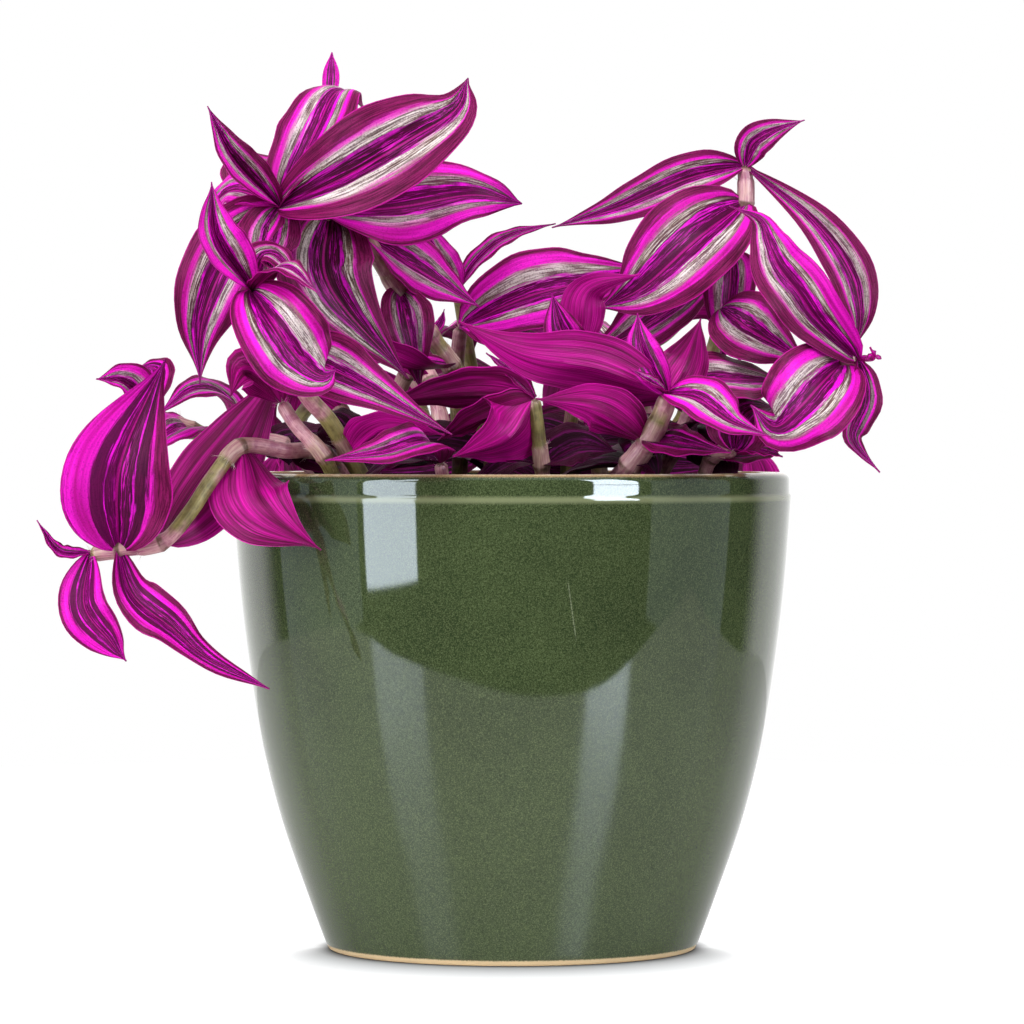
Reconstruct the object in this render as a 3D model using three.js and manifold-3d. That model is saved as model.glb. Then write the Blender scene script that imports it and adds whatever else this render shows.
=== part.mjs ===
// Potted tradescantia: a glazed cover pot, its soil, and leafy stems that arch and trail over the rim.
// Millimetres, +Z up, +Y away from the front. The origin is the centre of the pot's flat foot.
import * as THREE from 'three';
import { mergeVertices } from 'three/addons/utils/BufferGeometryUtils.js';
import Module from 'manifold-3d';

const wasm = await Module();
wasm.setup();

// ---------------------------------------------------------------- driving dimensions

const POT = {
  height: 119.6,
  wall: 5,
  floor: 7,
  rimRadius: 69.7,
  ridgeHeight: 113.6,
  segments: 40,
  bellySteps: 7,
};

// Radius and height of the bellied wall, from the foot up to the ridge under the rim band
const BELLY = [[46.2, 0], [50.7, 12], [57.7, 32], [62.7, 52], [66, 72], [68.4, 92], [70.1, 113.6]];

const SOIL = { top: 105, crown: 1.5, gap: 0.3, holeDepth: 18, holeSides: 8, holeGap: 0.5 };
const STEM = { sides: 5, stepLength: 8.5, leastSteps: 7, straightAbove: 8, sample: 3 };
const BLADE = {
  thickness: 0.7, steps: 5, fewSteps: 4, narrow: 14, baseHalf: 1.1, tipHalf: 0.4, baseFold: 35, waves: 2,
};

// Leaves are laid out on a front elevation through the pot's axis, as [across, up, depth]:
// across and up as they look from this distance and height, depth in front of (-) or behind (+) the axis.
const VIEW = { distance: 1265, height: 130.3 };

// How far leaves stay from each other, from stems, from the pot and from the soil
const CLEAR = { leaf: 2.4, stem: 1.6, pot: 1, step: 2, most: 26, alongSamples: 16, halfSamples: 3 };

const COLOURS = {
  pot: '#404d31',
  soil: '#2b2019',
  leaf: ['#8c1a80', '#7a1668', '#9c2490', '#6b1458'],
};

const degrees = THREE.MathUtils.degToRad;

// ---------------------------------------------------------------- the shoots that face the front

// root is [x, y] in the soil. Each leaf grows at a point of its stem's path, counted from 1, and runs
// through the points in to. up is the way that its upper face looks, fold lifts both halves, in degrees.
const FRONT_SHOOTS = [
  {
    name: 'shoot_left_trailing', radius: 2.1, root: [-38, -22],
    path: [[-47, 124, -33], [-57, 125, -40], [-68, 126, -46], [-75, 118.5, -50], [-81, 109.5, -52],
      [-88, 102, -52], [-99, 100, -50], [-106, 99, -49]],
    leaves: [
      { at: 3, width: 21, up: [-0.1, 0.95, 0.3], to: [[-64.5, 111, -57], [-48, 100, -60]],
        fold: 10, wave: 1.2 },
      { at: 6, width: 22, up: [0.4, 0.85, 0.3], to: [[-73, 122.5, -41], [-57, 147, -35]], fold: 12 },
      { at: 7, width: 29, up: [0.1, -0.97, 0.1], to: [[-98.5, 121.5, -58], [-87, 148, -58]],
        fold: 16, wave: 0.8 },
      { at: 8, width: 4.5, up: [0.3, -0.8, 0.5], to: [[-114, 99.5, -50], [-119.5, 107.5, -50]], fold: 30 },
      { at: 8, width: 13, up: [-0.1, -0.95, 0.2], to: [[-107.5, 86, -54], [-101, 77, -56], [-97, 72, -57]],
        fold: 14, twist: -20 },
      { at: 7, width: 12, up: [0.3, -0.9, 0.3],
        to: [[-95.5, 88.5, -56], [-86, 80.5, -60], [-76.5, 72.5, -63], [-61, 65, -64]], fold: 14, wave: 1.4 },
    ],
  },
  {
    name: 'shoot_left_front', radius: 2.3, root: [-34, -34],
    path: [[-41, 124, -38], [-46, 132.5, -43], [-52, 139.5, -48], [-57, 150, -54], [-61, 158, -58],
      [-65.5, 165, -61]],
    leaves: [
      { at: 6, width: 22, up: [0.05, -0.95, 0.2],
        to: [[-60, 157, -78], [-54, 148.5, -78], [-48, 143.8, -77], [-44.3, 145.2, -75]], fold: 12 },
      { at: 6, width: 15, up: [0.3, -0.9, 0.2], to: [[-74.5, 178.5, -66], [-75.5, 192.5, -66]], fold: 36 },
      { at: 6, width: 12, up: [0.2, -0.5, 0.85], to: [[-61, 174, -62], [-52, 166, -66]], fold: 8 },
      { at: 6, width: 10, up: [0.2, -0.5, 0.85], to: [[-57, 170.5, -70], [-48.5, 164.5, -74]], fold: 8 },
      { at: 4, width: 18, up: [0.25, -0.93, 0.2], to: [[-47, 146, -66], [-36.5, 141, -71], [-15, 129, -70]],
        fold: 12 },
      { at: 1, width: 14, up: [0, 0.5, 0.85], to: [[-31, 130.5, -52], [-17, 129, -52]], fold: 10 },
    ],
  },
  {
    name: 'shoot_left_tall', radius: 2.4, root: [-6, -8],
    path: [[-5, 124, -8], [-10, 138, -12], [-15, 146, -14], [-20.5, 154, -18], [-28.5, 165, -22],
      [-37.5, 179, -30], [-46, 184.5, -38], [-58.5, 186, -46]],
    leaves: [
      { at: 8, width: 25, up: [-0.3, -0.93, 0.2],
        to: [[-42, 193.5, -60], [-25.5, 203, -66], [-14, 210.5, -64], [-11, 218.5, -60]], fold: 12, wave: 1 },
      { at: 7, width: 23, up: [0, -0.9, 0.4], to: [[-28, 186, -42], [-10, 189, -46], [2.5, 187, -42]],
        fold: 8, wave: 1.5 },
      { at: 8, width: 4.4, up: [0, -1, 0], to: [[-50, 203, -24], [-46, 214, -21], [-45.2, 225, -20]],
        peak: 3 },
      { at: 8, width: 22, up: [-0.35, -0.6, 0.75], to: [[-50, 203, -46], [-43.5, 215, -40], [-36, 210, -32]],
        fold: 6 },
      { at: 8, width: 12, up: [0.2, -0.9, 0.3], to: [[-70, 198, -54], [-76.5, 211.5, -58]], fold: 36 },
      { at: 8, width: 14, up: [-0.2, -0.6, 0.75], to: [[-70, 190, -44], [-77.5, 183, -40]], fold: 10 },
      { at: 8, width: 17, up: [0, -0.7, 0.7], to: [[-65, 195, -34], [-52, 197, -26]], fold: 8 },
      { at: 8, width: 16, up: [0, -0.9, 0.45], to: [[-61.5, 176, -54], [-60, 168, -56]], fold: 6 },
      { at: 8, width: 21, up: [-0.2, -0.95, 0.15],
        to: [[-70.5, 175, -56], [-78.5, 158, -60], [-80, 142, -58]],
        fold: 10, wave: 0.8 },
      { at: 7, width: 25, up: [0.15, -0.97, 0.1], to: [[-46, 166.5, -50], [-26, 143, -46]], fold: 8 },
      { at: 5, width: 14, up: [0.25, -0.95, 0], to: [[-26, 155.5, -32], [-23, 140, -30]], fold: 12 },
      { at: 6, width: 17, up: [0.1, -0.85, 0.45], to: [[-23, 170, -20], [-8, 161, -12]], fold: 12 },
      { at: 3, width: 13, up: [0.4, 0.8, 0.4], to: [[-27, 146, -46], [-39, 152, -56], [-47, 164, -58]],
        fold: 14 },
      { at: 4, width: 2.6, up: [0, -1, 0.1], to: [[-18, 157, -17], [-17, 160.5, -16]], fold: 20 },
    ],
  },
  {
    name: 'shoot_right_tall', radius: 2.3, root: [24, 6],
    path: [[22, 124, 4], [28.5, 147, 0], [39, 155, -4], [50, 167, -8], [55, 174, -10], [58.5, 187, -12],
      [58.5, 196.5, -12]],
    leaves: [
      { at: 7, width: 13, up: [-0.2, -0.95, 0.25], to: [[45, 193.5, -12], [27, 186, -14], [10, 181, -14]],
        fold: 12 },
      { at: 6, width: 26, up: [-0.2, -0.95, 0.2], to: [[46.5, 178, -26], [33, 166, -30], [21.5, 160.5, -28]],
        fold: 10 },
      { at: 7, width: 12, up: [0, -0.97, 0.2],
        to: [[75, 183.5, -20], [84.5, 171, -24], [87.5, 160, -26], [86.5, 151, -26]], fold: 12, peak: 1 },
      { at: 7, width: 9, up: [0, -1, 0.1], to: [[60.5, 202, -15], [66, 205.5, -18], [73.5, 208, -18]],
        fold: 10 },
      { at: 5, width: 14, up: [-0.1, -0.85, 0.5], to: [[55, 168, -18], [54, 158, -22], [53, 146, -24]],
        fold: 12 },
      { at: 4, width: 17, up: [-0.1, -0.8, 0.55], to: [[38, 159, -16], [28, 153, -18], [18, 149, -18]],
        fold: 12 },
      { at: 1, width: 12, up: [0, -0.95, 0.3], to: [[36, 121.5, 12], [56, 121, 12]], fold: 8 },
    ],
  },
  {
    name: 'shoot_right_hanging', radius: 2.1, root: [44, -10],
    path: [[56, 126, -12], [66, 134, -18], [76, 143, -24], [83, 147, -30], [87, 147.5, -31]],
    leaves: [
      { at: 5, width: 17, up: [-0.1, -0.95, 0.2],
        to: [[77, 157.5, -38], [72, 164.5, -41], [67, 171, -41], [64.5, 177, -40], [62, 183, -38],
          [54.5, 186.5, -36]], fold: 16, wave: 1, peak: 0.6 },
      { at: 4, width: 24, up: [0, -0.97, 0.2],
        to: [[78, 142, -42], [72, 135.5, -47], [66, 131, -48], [60, 136.5, -47]], fold: 6 },
      { at: 5, width: 10, up: [0.3, -0.9, 0.1], to: [[88, 138, -36], [85, 128, -38], [92.5, 119.5, -40]],
        fold: 20, twist: 30 },
      { at: 5, width: 4, up: [0.2, -0.5, 0.8], to: [[91, 148, -34], [90, 151, -36]], fold: 25 },
    ],
  },
  {
    name: 'shoot_right_front', radius: 2.9, root: [22, -40],
    path: [[29.5, 121, -46], [34, 127, -49], [38, 135, -52], [39, 139, -53]],
    leaves: [
      { at: 4, width: 17, up: [0.1, 0.85, 0.4], to: [[22, 145.5, -60], [3, 149, -64], [-13.5, 157.5, -62]],
        fold: 12 },
      { at: 4, width: 10, up: [-0.1, -0.9, 0.1], to: [[33, 150, -55], [31.5, 159.5, -53]], fold: 20 },
      { at: 4, width: 20, up: [-0.1, -0.5, 0.85], to: [[48, 142.5, -44], [60, 142.5, -36], [70, 142, -30]],
        fold: 6, twist: -30 },
      { at: 4, width: 15, up: [0.05, -0.75, 0.6], to: [[47, 137.5, -62], [55, 132, -66], [65, 128.5, -64]],
        fold: 10, twist: 15 },
      { at: 4, width: 5, up: [0.2, -0.6, 0.75], to: [[34.5, 142, -57], [29.5, 145.5, -58]], fold: 28 },
      { at: 4, width: 14, up: [-0.1, 0.9, 0.2], to: [[44, 147, -42], [47, 158, -36]], fold: 12 },
      { at: 2, width: 15, up: [0, 0.8, 0.5], to: [[21.5, 135, -58], [6, 138, -50]], fold: 12 },
      { at: 2, width: 15, up: [0, -0.5, 0.85], to: [[42, 126.5, -54], [55, 124.5, -56]], fold: 6 },
    ],
  },
  {
    name: 'shoot_centre_front', radius: 2, root: [8, -44],
    path: [[7.5, 121, -49], [6.5, 130, -53], [5.5, 138, -56]],
    leaves: [
      { at: 3, width: 24, up: [0.2, 0.6, 0.75], to: [[-1, 128, -60], [-15, 123.5, -62]], fold: 12 },
      { at: 3, width: 17, up: [0, 0.6, 0.8], to: [[-12, 139, -56], [-34, 137, -52]], fold: 12 },
      { at: 3, width: 12, up: [0, 0.6, 0.8], to: [[-9, 132.5, -63], [-19, 127.5, -63]], fold: 12 },
      { at: 3, width: 5, up: [0.5, -0.8, 0.3], to: [[0, 144, -56], [-6.5, 149.5, -54]], fold: 25 },
    ],
  },
  {
    name: 'shoot_centre_upright', radius: 2, root: [14, -16],
    path: [[14, 124, -20], [15.5, 138, -26], [17, 147, -32]],
    leaves: [
      { at: 3, width: 12, up: [0, -0.9, 0.1], to: [[12.5, 155, -38], [10, 164.5, -38]], fold: 26 },
      { at: 3, width: 13, up: [-0.3, 0.9, 0.3], to: [[18, 157, -36], [20, 165.5, -38], [32.5, 169.5, -42]],
        fold: 14 },
    ],
  },
  {
    name: 'shoot_right_inner', radius: 2.1, root: [34, -16],
    path: [[40, 124, -16], [46, 138, -19], [51, 152, -23], [52.5, 160.5, -26]],
    leaves: [
      { at: 4, width: 20, up: [0, -0.9, 0.45], to: [[61, 154.5, -31], [75, 146.5, -30]], fold: 8 },
    ],
  },
  {
    name: 'shoot_centre_back', radius: 2.2, root: [-14, 12],
    path: [[-13, 124, 8], [-14, 142, 2], [-13, 156, -6]],
    leaves: [
      { at: 3, width: 24, up: [-0.1, -0.85, 0.5], to: [[4, 163.5, -14], [20, 167.5, -16], [36, 171, -14]],
        fold: 8 },
      { at: 3, width: 16, up: [0, -0.6, 0.8], to: [[4, 151.5, -16], [20, 150, -14]], fold: 10 },
      { at: 1, width: 12, up: [0, -0.95, 0.3], to: [[4, 121, 18], [24, 119.5, 20]], fold: 8 },
    ],
  },
  {
    name: 'shoot_back_slender', radius: 1.9, root: [-2, 22],
    path: [[-5, 124, 16], [-10, 145, 8], [-13.5, 165, 0]],
    leaves: [
      { at: 3, width: 6, up: [-0.3, -0.8, 0.5],
        to: [[-9.5, 171.5, 0], [-3.5, 177, 0], [3, 180, 0], [11, 182, 0]],
        fold: 18 },
      { at: 3, width: 10, up: [0.2, -0.9, 0.2], to: [[-19, 174, -4], [-25, 186, -8]], fold: 14 },
      { at: 1, width: 12, up: [0, -0.95, 0.3], to: [[-22, 121, 24], [-42, 119.5, 24]], fold: 8 },
    ],
  },
  {
    name: 'shoot_left_back', radius: 2.2, root: [-44, 2],
    path: [[-57, 126, 0], [-70, 127, -4], [-80, 130, -8], [-90, 134, -10]],
    leaves: [
      { at: 4, width: 13, up: [-0.1, -0.8, 0.6], to: [[-97, 141.5, -14], [-104.5, 143, -18]], fold: 22 },
      { at: 4, width: 10, up: [-0.2, -0.6, 0.7], to: [[-89, 144.5, 0], [-94.5, 146, 4]], fold: 16 },
      { at: 2, width: 13, up: [0, -0.6, 0.8], to: [[-72.5, 137.5, -10], [-80, 140, -18], [-89, 134, -24]],
        fold: 10 },
      { at: 3, width: 14, up: [0.1, -0.5, 0.85], to: [[-85, 130, -16], [-93, 124, -20]], fold: 10 },
    ],
  },
  {
    name: 'shoot_left_short', radius: 2, root: [-42, -36],
    path: [[-47, 123, -43], [-54, 131, -43], [-58, 137, -41]],
    leaves: [
      { at: 3, width: 15, up: [0.2, 0.85, 0.4],
        to: [[-62.5, 142.5, -41], [-67, 145, -41], [-69.5, 138.5, -42]],
        fold: 16 },
    ],
  },
  {
    name: 'shoot_right_low', radius: 2, root: [46, -30],
    path: [[50, 123, -32], [56, 125, -38]],
    leaves: [
      { at: 1, width: 13, up: [-0.2, -0.6, 0.75], to: [[61, 124.5, -32], [71, 127.5, -28]], fold: 14 },
      { at: 2, width: 6, up: [0, -0.6, 0.8], to: [[63, 124.5, -44], [68, 123.5, -48]], fold: 20 },
      { at: 2, width: 18, up: [0, -0.8, 0.6], to: [[59, 134, -42], [67, 136, -36]], fold: 10 },
    ],
  },
  {
    name: 'shoot_front_low', radius: 1.9, root: [-16, -46],
    path: [[-18, 122, -53]],
    leaves: [
      { at: 1, width: 13, up: [0, -0.75, 0.65], to: [[-22, 127, -66], [-33, 124.5, -79], [-47, 122.5, -78]],
        fold: 10 },
    ],
  },
];

// ---------------------------------------------------------------- the shoots that arch over the back

// bearing is the way that the shoot leans, in degrees from +X towards +Y. reach and height are where its
// arch ends and tops, drop is how far it has sunk at its end, and its leaves stand left and right in turn.
const BACK_SHOOTS = [
  { name: 'shoot_back_1', bearing: 42, rootRadius: 46, reach: 82, height: 137, drop: 12 },
  { name: 'shoot_back_2', bearing: 64, rootRadius: 44, reach: 88, height: 143, drop: 24 },
  { name: 'shoot_back_3', bearing: 89, rootRadius: 42, reach: 95, height: 145, drop: 36 },
  { name: 'shoot_back_4', bearing: 114, rootRadius: 44, reach: 88, height: 142, drop: 26 },
  { name: 'shoot_back_5', bearing: 137, rootRadius: 46, reach: 82, height: 138, drop: 14 },
  { name: 'shoot_back_inner_1', bearing: 58, rootRadius: 24, reach: 54, height: 150, drop: 6 },
  { name: 'shoot_back_inner_2', bearing: 124, rootRadius: 26, reach: 54, height: 147, drop: 8 },
];

// spread is the angle between a side leaf and its stem, and edge is how far across the leaves reach before
// they hang. endReach and endSink are shares of the last leaf's length, and most is the furthest bend.
const BACK_LEAF = {
  length: 44, width: 20, spread: 54, rise: 5, drop: 8, fold: 12, wave: 0.8, smaller: 0.75, most: 14,
  endReach: 0.6, endSink: 0.62, edge: 60,
};

// Older leaves low on the front shoots, one to each side, which lie over the soil inside the rim and face
// the front. turn is how far they may point away from straight across.
const LOW_LEAF = {
  length: 34, width: 18, turn: 50, inside: 56, front: -48, low: 116, high: 126, arch: 3, fold: 8, most: 10,
  tries: 8,
};

// A repeatable draw between 0 and 1
let seed = 4711;
const draw = () => {
  seed = (seed * 16807) % 2147483647;
  return seed / 2147483647;
};

// ---------------------------------------------------------------- solids

function solidFrom(geometry) {
  geometry.deleteAttribute('normal');
  geometry.deleteAttribute('uv');
  const merged = mergeVertices(geometry, 1e-4);
  return new wasm.Manifold(new wasm.Mesh({
    numProp: 3,
    vertProperties: new Float32Array(merged.attributes.position.array),
    triVerts: new Uint32Array(merged.index.array),
  }));
}

function meshFrom(name, solid, colour, roughness) {
  const { vertProperties, triVerts } = solid.getMesh();
  const geometry = new THREE.BufferGeometry();
  geometry.setAttribute('position', new THREE.BufferAttribute(vertProperties, 3));
  geometry.setIndex(new THREE.BufferAttribute(triVerts, 1));
  geometry.computeVertexNormals();
  const finish = new THREE.MeshStandardMaterial({ color: colour, roughness, metalness: 0 });
  const mesh = new THREE.Mesh(geometry, finish);
  mesh.name = name;
  return mesh;
}

// Turned about the vertical axis: the profile is a list of [radius, height]
function turned(profile) {
  const points = profile.map(([radius, height]) => new THREE.Vector2(radius, height));
  return solidFrom(new THREE.LatheGeometry(points, POT.segments).rotateX(Math.PI / 2));
}

// ---------------------------------------------------------------- pot and soil

const belly = new THREE.SplineCurve(BELLY.map(([radius, height]) => new THREE.Vector2(radius, height)));
const bellyPoints = belly.getPoints(POT.bellySteps);

// The wall's outer radius at a height
function outerRadius(height) {
  for (let i = 1; i < bellyPoints.length; i += 1) {
    const low = bellyPoints[i - 1];
    const high = bellyPoints[i];
    if (height <= high.y) return low.x + (high.x - low.x) * Math.max(0, height - low.y) / (high.y - low.y);
  }
  return POT.rimRadius;
}
const innerRadius = (height) => outerRadius(height) - POT.wall;

function potSolid() {
  const outside = bellyPoints.map((point) => [point.x, point.y]);
  const rim = [
    [POT.rimRadius, POT.ridgeHeight + 1.2], [POT.rimRadius, POT.height - 1.6],
    [POT.rimRadius - 1.6, POT.height], [POT.rimRadius - 3.4, POT.height],
    [innerRadius(POT.height), POT.height - 1.6],
  ];
  const inside = [];
  for (let i = bellyPoints.length - 1; bellyPoints[i].y > POT.floor; i -= 1) {
    inside.push([innerRadius(bellyPoints[i].y), bellyPoints[i].y]);
  }
  inside.push([innerRadius(POT.floor), POT.floor]);
  return turned([[0, 0], ...outside, ...rim, ...inside, [0, POT.floor]]);
}

function soilSolid(shoots) {
  const low = POT.floor + SOIL.gap;
  const wall = [[innerRadius(low) - SOIL.gap, low]];
  for (const point of bellyPoints) {
    if (point.y > low && point.y < SOIL.top) wall.push([innerRadius(point.y) - SOIL.gap, point.y]);
  }
  wall.push([innerRadius(SOIL.top) - SOIL.gap, SOIL.top]);
  let soil = turned([[0, low], ...wall, [0, SOIL.top + SOIL.crown]]);
  const depth = SOIL.holeDepth + SOIL.gap;
  for (const shoot of shoots) {
    const radius = shoot.radius + SOIL.holeGap;
    const tall = depth + 2 * SOIL.crown;
    const hole = new THREE.CylinderGeometry(radius, radius, tall, SOIL.holeSides).rotateX(Math.PI / 2);
    hole.translate(shoot.root.x, shoot.root.y, SOIL.top - depth + tall / 2);
    soil = soil.subtract(solidFrom(hole));
  }
  return soil;
}

// ---------------------------------------------------------------- stems and blades

function stemCurve(shoot) {
  const { x, y } = shoot.root;
  const heights = [SOIL.top - SOIL.holeDepth, SOIL.top - SOIL.holeDepth / 2, SOIL.top,
    SOIL.top + STEM.straightAbove];
  const foot = heights.map((height) => new THREE.Vector3(x, y, height));
  return new THREE.CatmullRomCurve3([...foot, ...shoot.path], false, 'catmullrom', 0.5);
}

function stemSolid(shoot) {
  const corners = [];
  for (let i = 0; i < STEM.sides; i += 1) {
    const angle = 2 * Math.PI * i / STEM.sides;
    corners.push(new THREE.Vector2(shoot.radius * Math.cos(angle), shoot.radius * Math.sin(angle)));
  }
  const curve = stemCurve(shoot);
  const steps = Math.max(STEM.leastSteps, Math.round(curve.getLength() / STEM.stepLength));
  return solidFrom(new THREE.ExtrudeGeometry(new THREE.Shape(corners), { steps, extrudePath: curve }));
}

// Ovate with a drawn-out tip. The higher peak is, the later the blade is widest: 0.7 is at two fifths
function halfWidth(leaf, u) {
  const swell = Math.sin(Math.PI * u ** leaf.peak) ** (0.8 + 0.5 * u);
  const least = u < 0.5 ? BLADE.baseHalf : BLADE.tipHalf;
  return Math.max(least, leaf.width / 2 * (Number.isNaN(swell) ? 0 : swell));
}

// A point of the blade's middle sheet: u from base to tip, v from -1 to 1 across, bent aside by shift
function bladePoint(leaf, u, v, shift) {
  const before = leaf.curve.getPoint(Math.max(0, u - 0.02));
  const along = leaf.curve.getPoint(Math.min(1, u + 0.02)).sub(before).normalize();
  const side = along.clone().cross(leaf.up).normalize();
  const face = side.clone().cross(along);
  const turn = degrees(leaf.twist) * u;
  const across = side.clone().multiplyScalar(Math.cos(turn)).addScaledVector(face, Math.sin(turn));
  const normal = face.multiplyScalar(Math.cos(turn)).addScaledVector(side, -Math.sin(turn));
  const fold = degrees(leaf.fold + BLADE.baseFold * (1 - u) ** 4);
  const half = halfWidth(leaf, u);
  const wave = leaf.wave * Math.sin(2 * Math.PI * BLADE.waves * u) * v * Math.abs(v);
  const point = leaf.curve.getPoint(u);
  point.addScaledVector(across, half * v * Math.cos(fold));
  point.addScaledVector(normal, half * Math.abs(v) * Math.sin(fold) + wave);
  point.addScaledVector(leaf.aside, shift * u ** 1.3);
  return { point, normal };
}

// A closed sheet, with its upper and lower faces split into triangles alike
function bladeSolid(leaf) {
  const steps = leaf.ruled || leaf.width < BLADE.narrow ? BLADE.fewSteps : BLADE.steps;
  const positions = [];
  const sides = [-1, 0, 1];
  for (let i = 0; i <= steps; i += 1) {
    for (const offset of [BLADE.thickness / 2, -BLADE.thickness / 2]) {
      for (const v of sides) {
        const { point, normal } = bladePoint(leaf, i / steps, v, leaf.shift);
        positions.push(...point.addScaledVector(normal, offset).toArray());
      }
    }
  }
  const rowSize = 2 * sides.length;
  const index = [];
  const quad = (a, b, c, d) => index.push(a, b, c, a, c, d);
  for (let i = 0; i < steps; i += 1) {
    const row = i * rowSize;
    const next = row + rowSize;
    for (let j = 0; j < 2; j += 1) {
      quad(row + j, row + j + 1, next + j + 1, next + j);
      index.push(row + 3 + j, next + 4 + j, row + 4 + j, row + 3 + j, next + 3 + j, next + 4 + j);
    }
    quad(row, next, next + 3, row + 3);
    quad(row + 2, row + 5, next + 5, next + 2);
  }
  const last = steps * rowSize;
  for (let j = 0; j < 2; j += 1) {
    quad(j, j + 3, j + 4, j + 1);
    quad(last + j, last + j + 1, last + j + 4, last + j + 3);
  }
  const geometry = new THREE.BufferGeometry();
  geometry.setAttribute('position', new THREE.Float32BufferAttribute(positions, 3));
  geometry.setIndex(index);
  const solid = solidFrom(geometry);
  if (solid.volume() > 0) return solid;
  throw new Error('a blade is inside out');
}

// ---------------------------------------------------------------- layout

function seen([across, up, depth]) {
  const scale = (VIEW.distance + depth) / VIEW.distance;
  return new THREE.Vector3(across * scale, depth, VIEW.height + (up - VIEW.height) * scale);
}

const DEPTH = new THREE.Vector3(0, 1, 0);
const ABOVE = new THREE.Vector3(0, 0, 1);

// A leaf that the front shows bends clear of the others in depth, which leaves its outline as it looks, and
// it always stays. A leaf placed by a rule is bent up or down, and may shrink or be left out.
function grownLeaf(base, to, leaf, ruled) {
  return {
    fold: 12, twist: 0, wave: 0, peak: 0.7, shift: 0, most: CLEAR.most, ...leaf, ruled,
    aside: ruled ? ABOVE : DEPTH, up: leaf.up.normalize(),
    curve: new THREE.CatmullRomCurve3([base, ...to], false, 'catmullrom', 0.5),
  };
}

function frontShoot({ name, radius, root, path, leaves }) {
  const places = path.map(seen);
  return {
    name, radius, root: new THREE.Vector2(...root), path: places,
    leaves: leaves.map((leaf) => grownLeaf(places[leaf.at - 1], leaf.to.map(seen),
      { ...leaf, up: new THREE.Vector3(...leaf.up) }, false)),
  };
}

// A leaf over the soil, from the foot of a front shoot, pulled in where it would reach the rim
function lowLeaf(base, side) {
  const bearing = (side < 0 ? Math.PI : 0) + degrees(LOW_LEAF.turn) * (2 * draw() - 1);
  const length = LOW_LEAF.length * (0.8 + 0.3 * draw());
  const heading = new THREE.Vector3(Math.cos(bearing), Math.sin(bearing), 0);
  const tip = base.clone().addScaledVector(heading, length);
  const pull = Math.min(1, LOW_LEAF.inside / Math.hypot(tip.x, tip.y));
  const height = LOW_LEAF.low + (LOW_LEAF.high - LOW_LEAF.low) * draw();
  tip.set(tip.x * pull, Math.max(tip.y * pull, LOW_LEAF.front), height);
  const via = base.clone().lerp(tip, 0.5).addScaledVector(ABOVE, LOW_LEAF.arch);
  const up = new THREE.Vector3(0, -0.55, 0.8);
  const habit = { up, width: LOW_LEAF.width, fold: LOW_LEAF.fold, most: LOW_LEAF.most };
  return grownLeaf(base, [via, tip], habit, true);
}

// Lowers a leaf's point, and more where it would reach past the plant's edge
function hang(point, sink) {
  const past = Math.max(0, Math.abs(point.x) - BACK_LEAF.edge);
  point.x -= Math.sign(point.x) * past;
  point.z -= sink + past / 2;
}

// An arch over the rim, with leaves left and right in turn and one at its end
function backShoot({ name, bearing, rootRadius, reach, height, drop }) {
  const turn = degrees(bearing);
  const out = new THREE.Vector3(Math.cos(turn), Math.sin(turn), 0);
  const left = new THREE.Vector3(-out.y, out.x, 0);
  const points = 5;
  const path = [];
  for (let i = 1; i <= points; i += 1) {
    const share = i / points;
    const rise = share < 0.6 ? Math.sin(Math.PI / 2 * share / 0.6) : 1;
    const fall = Math.max(0, (share - 0.6) / 0.4) ** 2 * drop;
    const climb = SOIL.top + STEM.straightAbove + (height - SOIL.top - STEM.straightAbove) * rise - fall;
    path.push(out.clone().multiplyScalar(rootRadius + (reach - rootRadius) * share).setZ(climb));
  }
  const leaves = path.map((base, i) => {
    const end = i === path.length - 1;
    const spread = end ? 0 : degrees(BACK_LEAF.spread + 16 * (draw() - 0.5)) * (i % 2 ? 1 : -1);
    const length = BACK_LEAF.length * (0.85 + 0.3 * draw());
    const heading = out.clone().multiplyScalar(Math.cos(spread)).addScaledVector(left, Math.sin(spread));
    const width = BACK_LEAF.width * (0.85 + 0.3 * draw());
    const reached = length * (end ? BACK_LEAF.endReach : 1);
    const sunk = end ? BACK_LEAF.endSink * length : BACK_LEAF.drop;
    const via = base.clone().addScaledVector(heading, reached * 0.55);
    const tip = base.clone().addScaledVector(heading, reached);
    hang(via, end ? sunk * 0.3 : -BACK_LEAF.rise);
    hang(tip, sunk);
    const up = out.clone().multiplyScalar(end ? 0.8 : 0.3).add(ABOVE);
    const { fold, wave, most } = BACK_LEAF;
    return grownLeaf(base, [via, tip], { up, width, fold, wave, most }, true);
  });
  const root = new THREE.Vector2(out.x, out.y).multiplyScalar(rootRadius);
  return { name, radius: 2.2, root, path, leaves };
}

// ---------------------------------------------------------------- keeping leaves clear

// What already stands, by cell: a place, its shoot, how far along its leaf, and the room that it needs
const crowd = new Map();
const cellSize = 6;
const cellOf = (value) => Math.floor(value / cellSize);

function stand(point, owner, along, room) {
  const key = `${cellOf(point.x)},${cellOf(point.y)},${cellOf(point.z)}`;
  if (!crowd.has(key)) crowd.set(key, []);
  crowd.get(key).push({ point, owner, along, room });
}

const MEETING = 0.35; // leaves of one shoot may meet below this share of their length

function blocked(point, owner, along) {
  for (let x = cellOf(point.x) - 1; x <= cellOf(point.x) + 1; x += 1) {
    for (let y = cellOf(point.y) - 1; y <= cellOf(point.y) + 1; y += 1) {
      for (let z = cellOf(point.z) - 1; z <= cellOf(point.z) + 1; z += 1) {
        for (const other of crowd.get(`${x},${y},${z}`) ?? []) {
          const related = other.owner === owner && (along < MEETING || other.along < MEETING);
          if (!related && other.point.distanceTo(point) < other.room) return true;
        }
      }
    }
  }
  return false;
}

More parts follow.
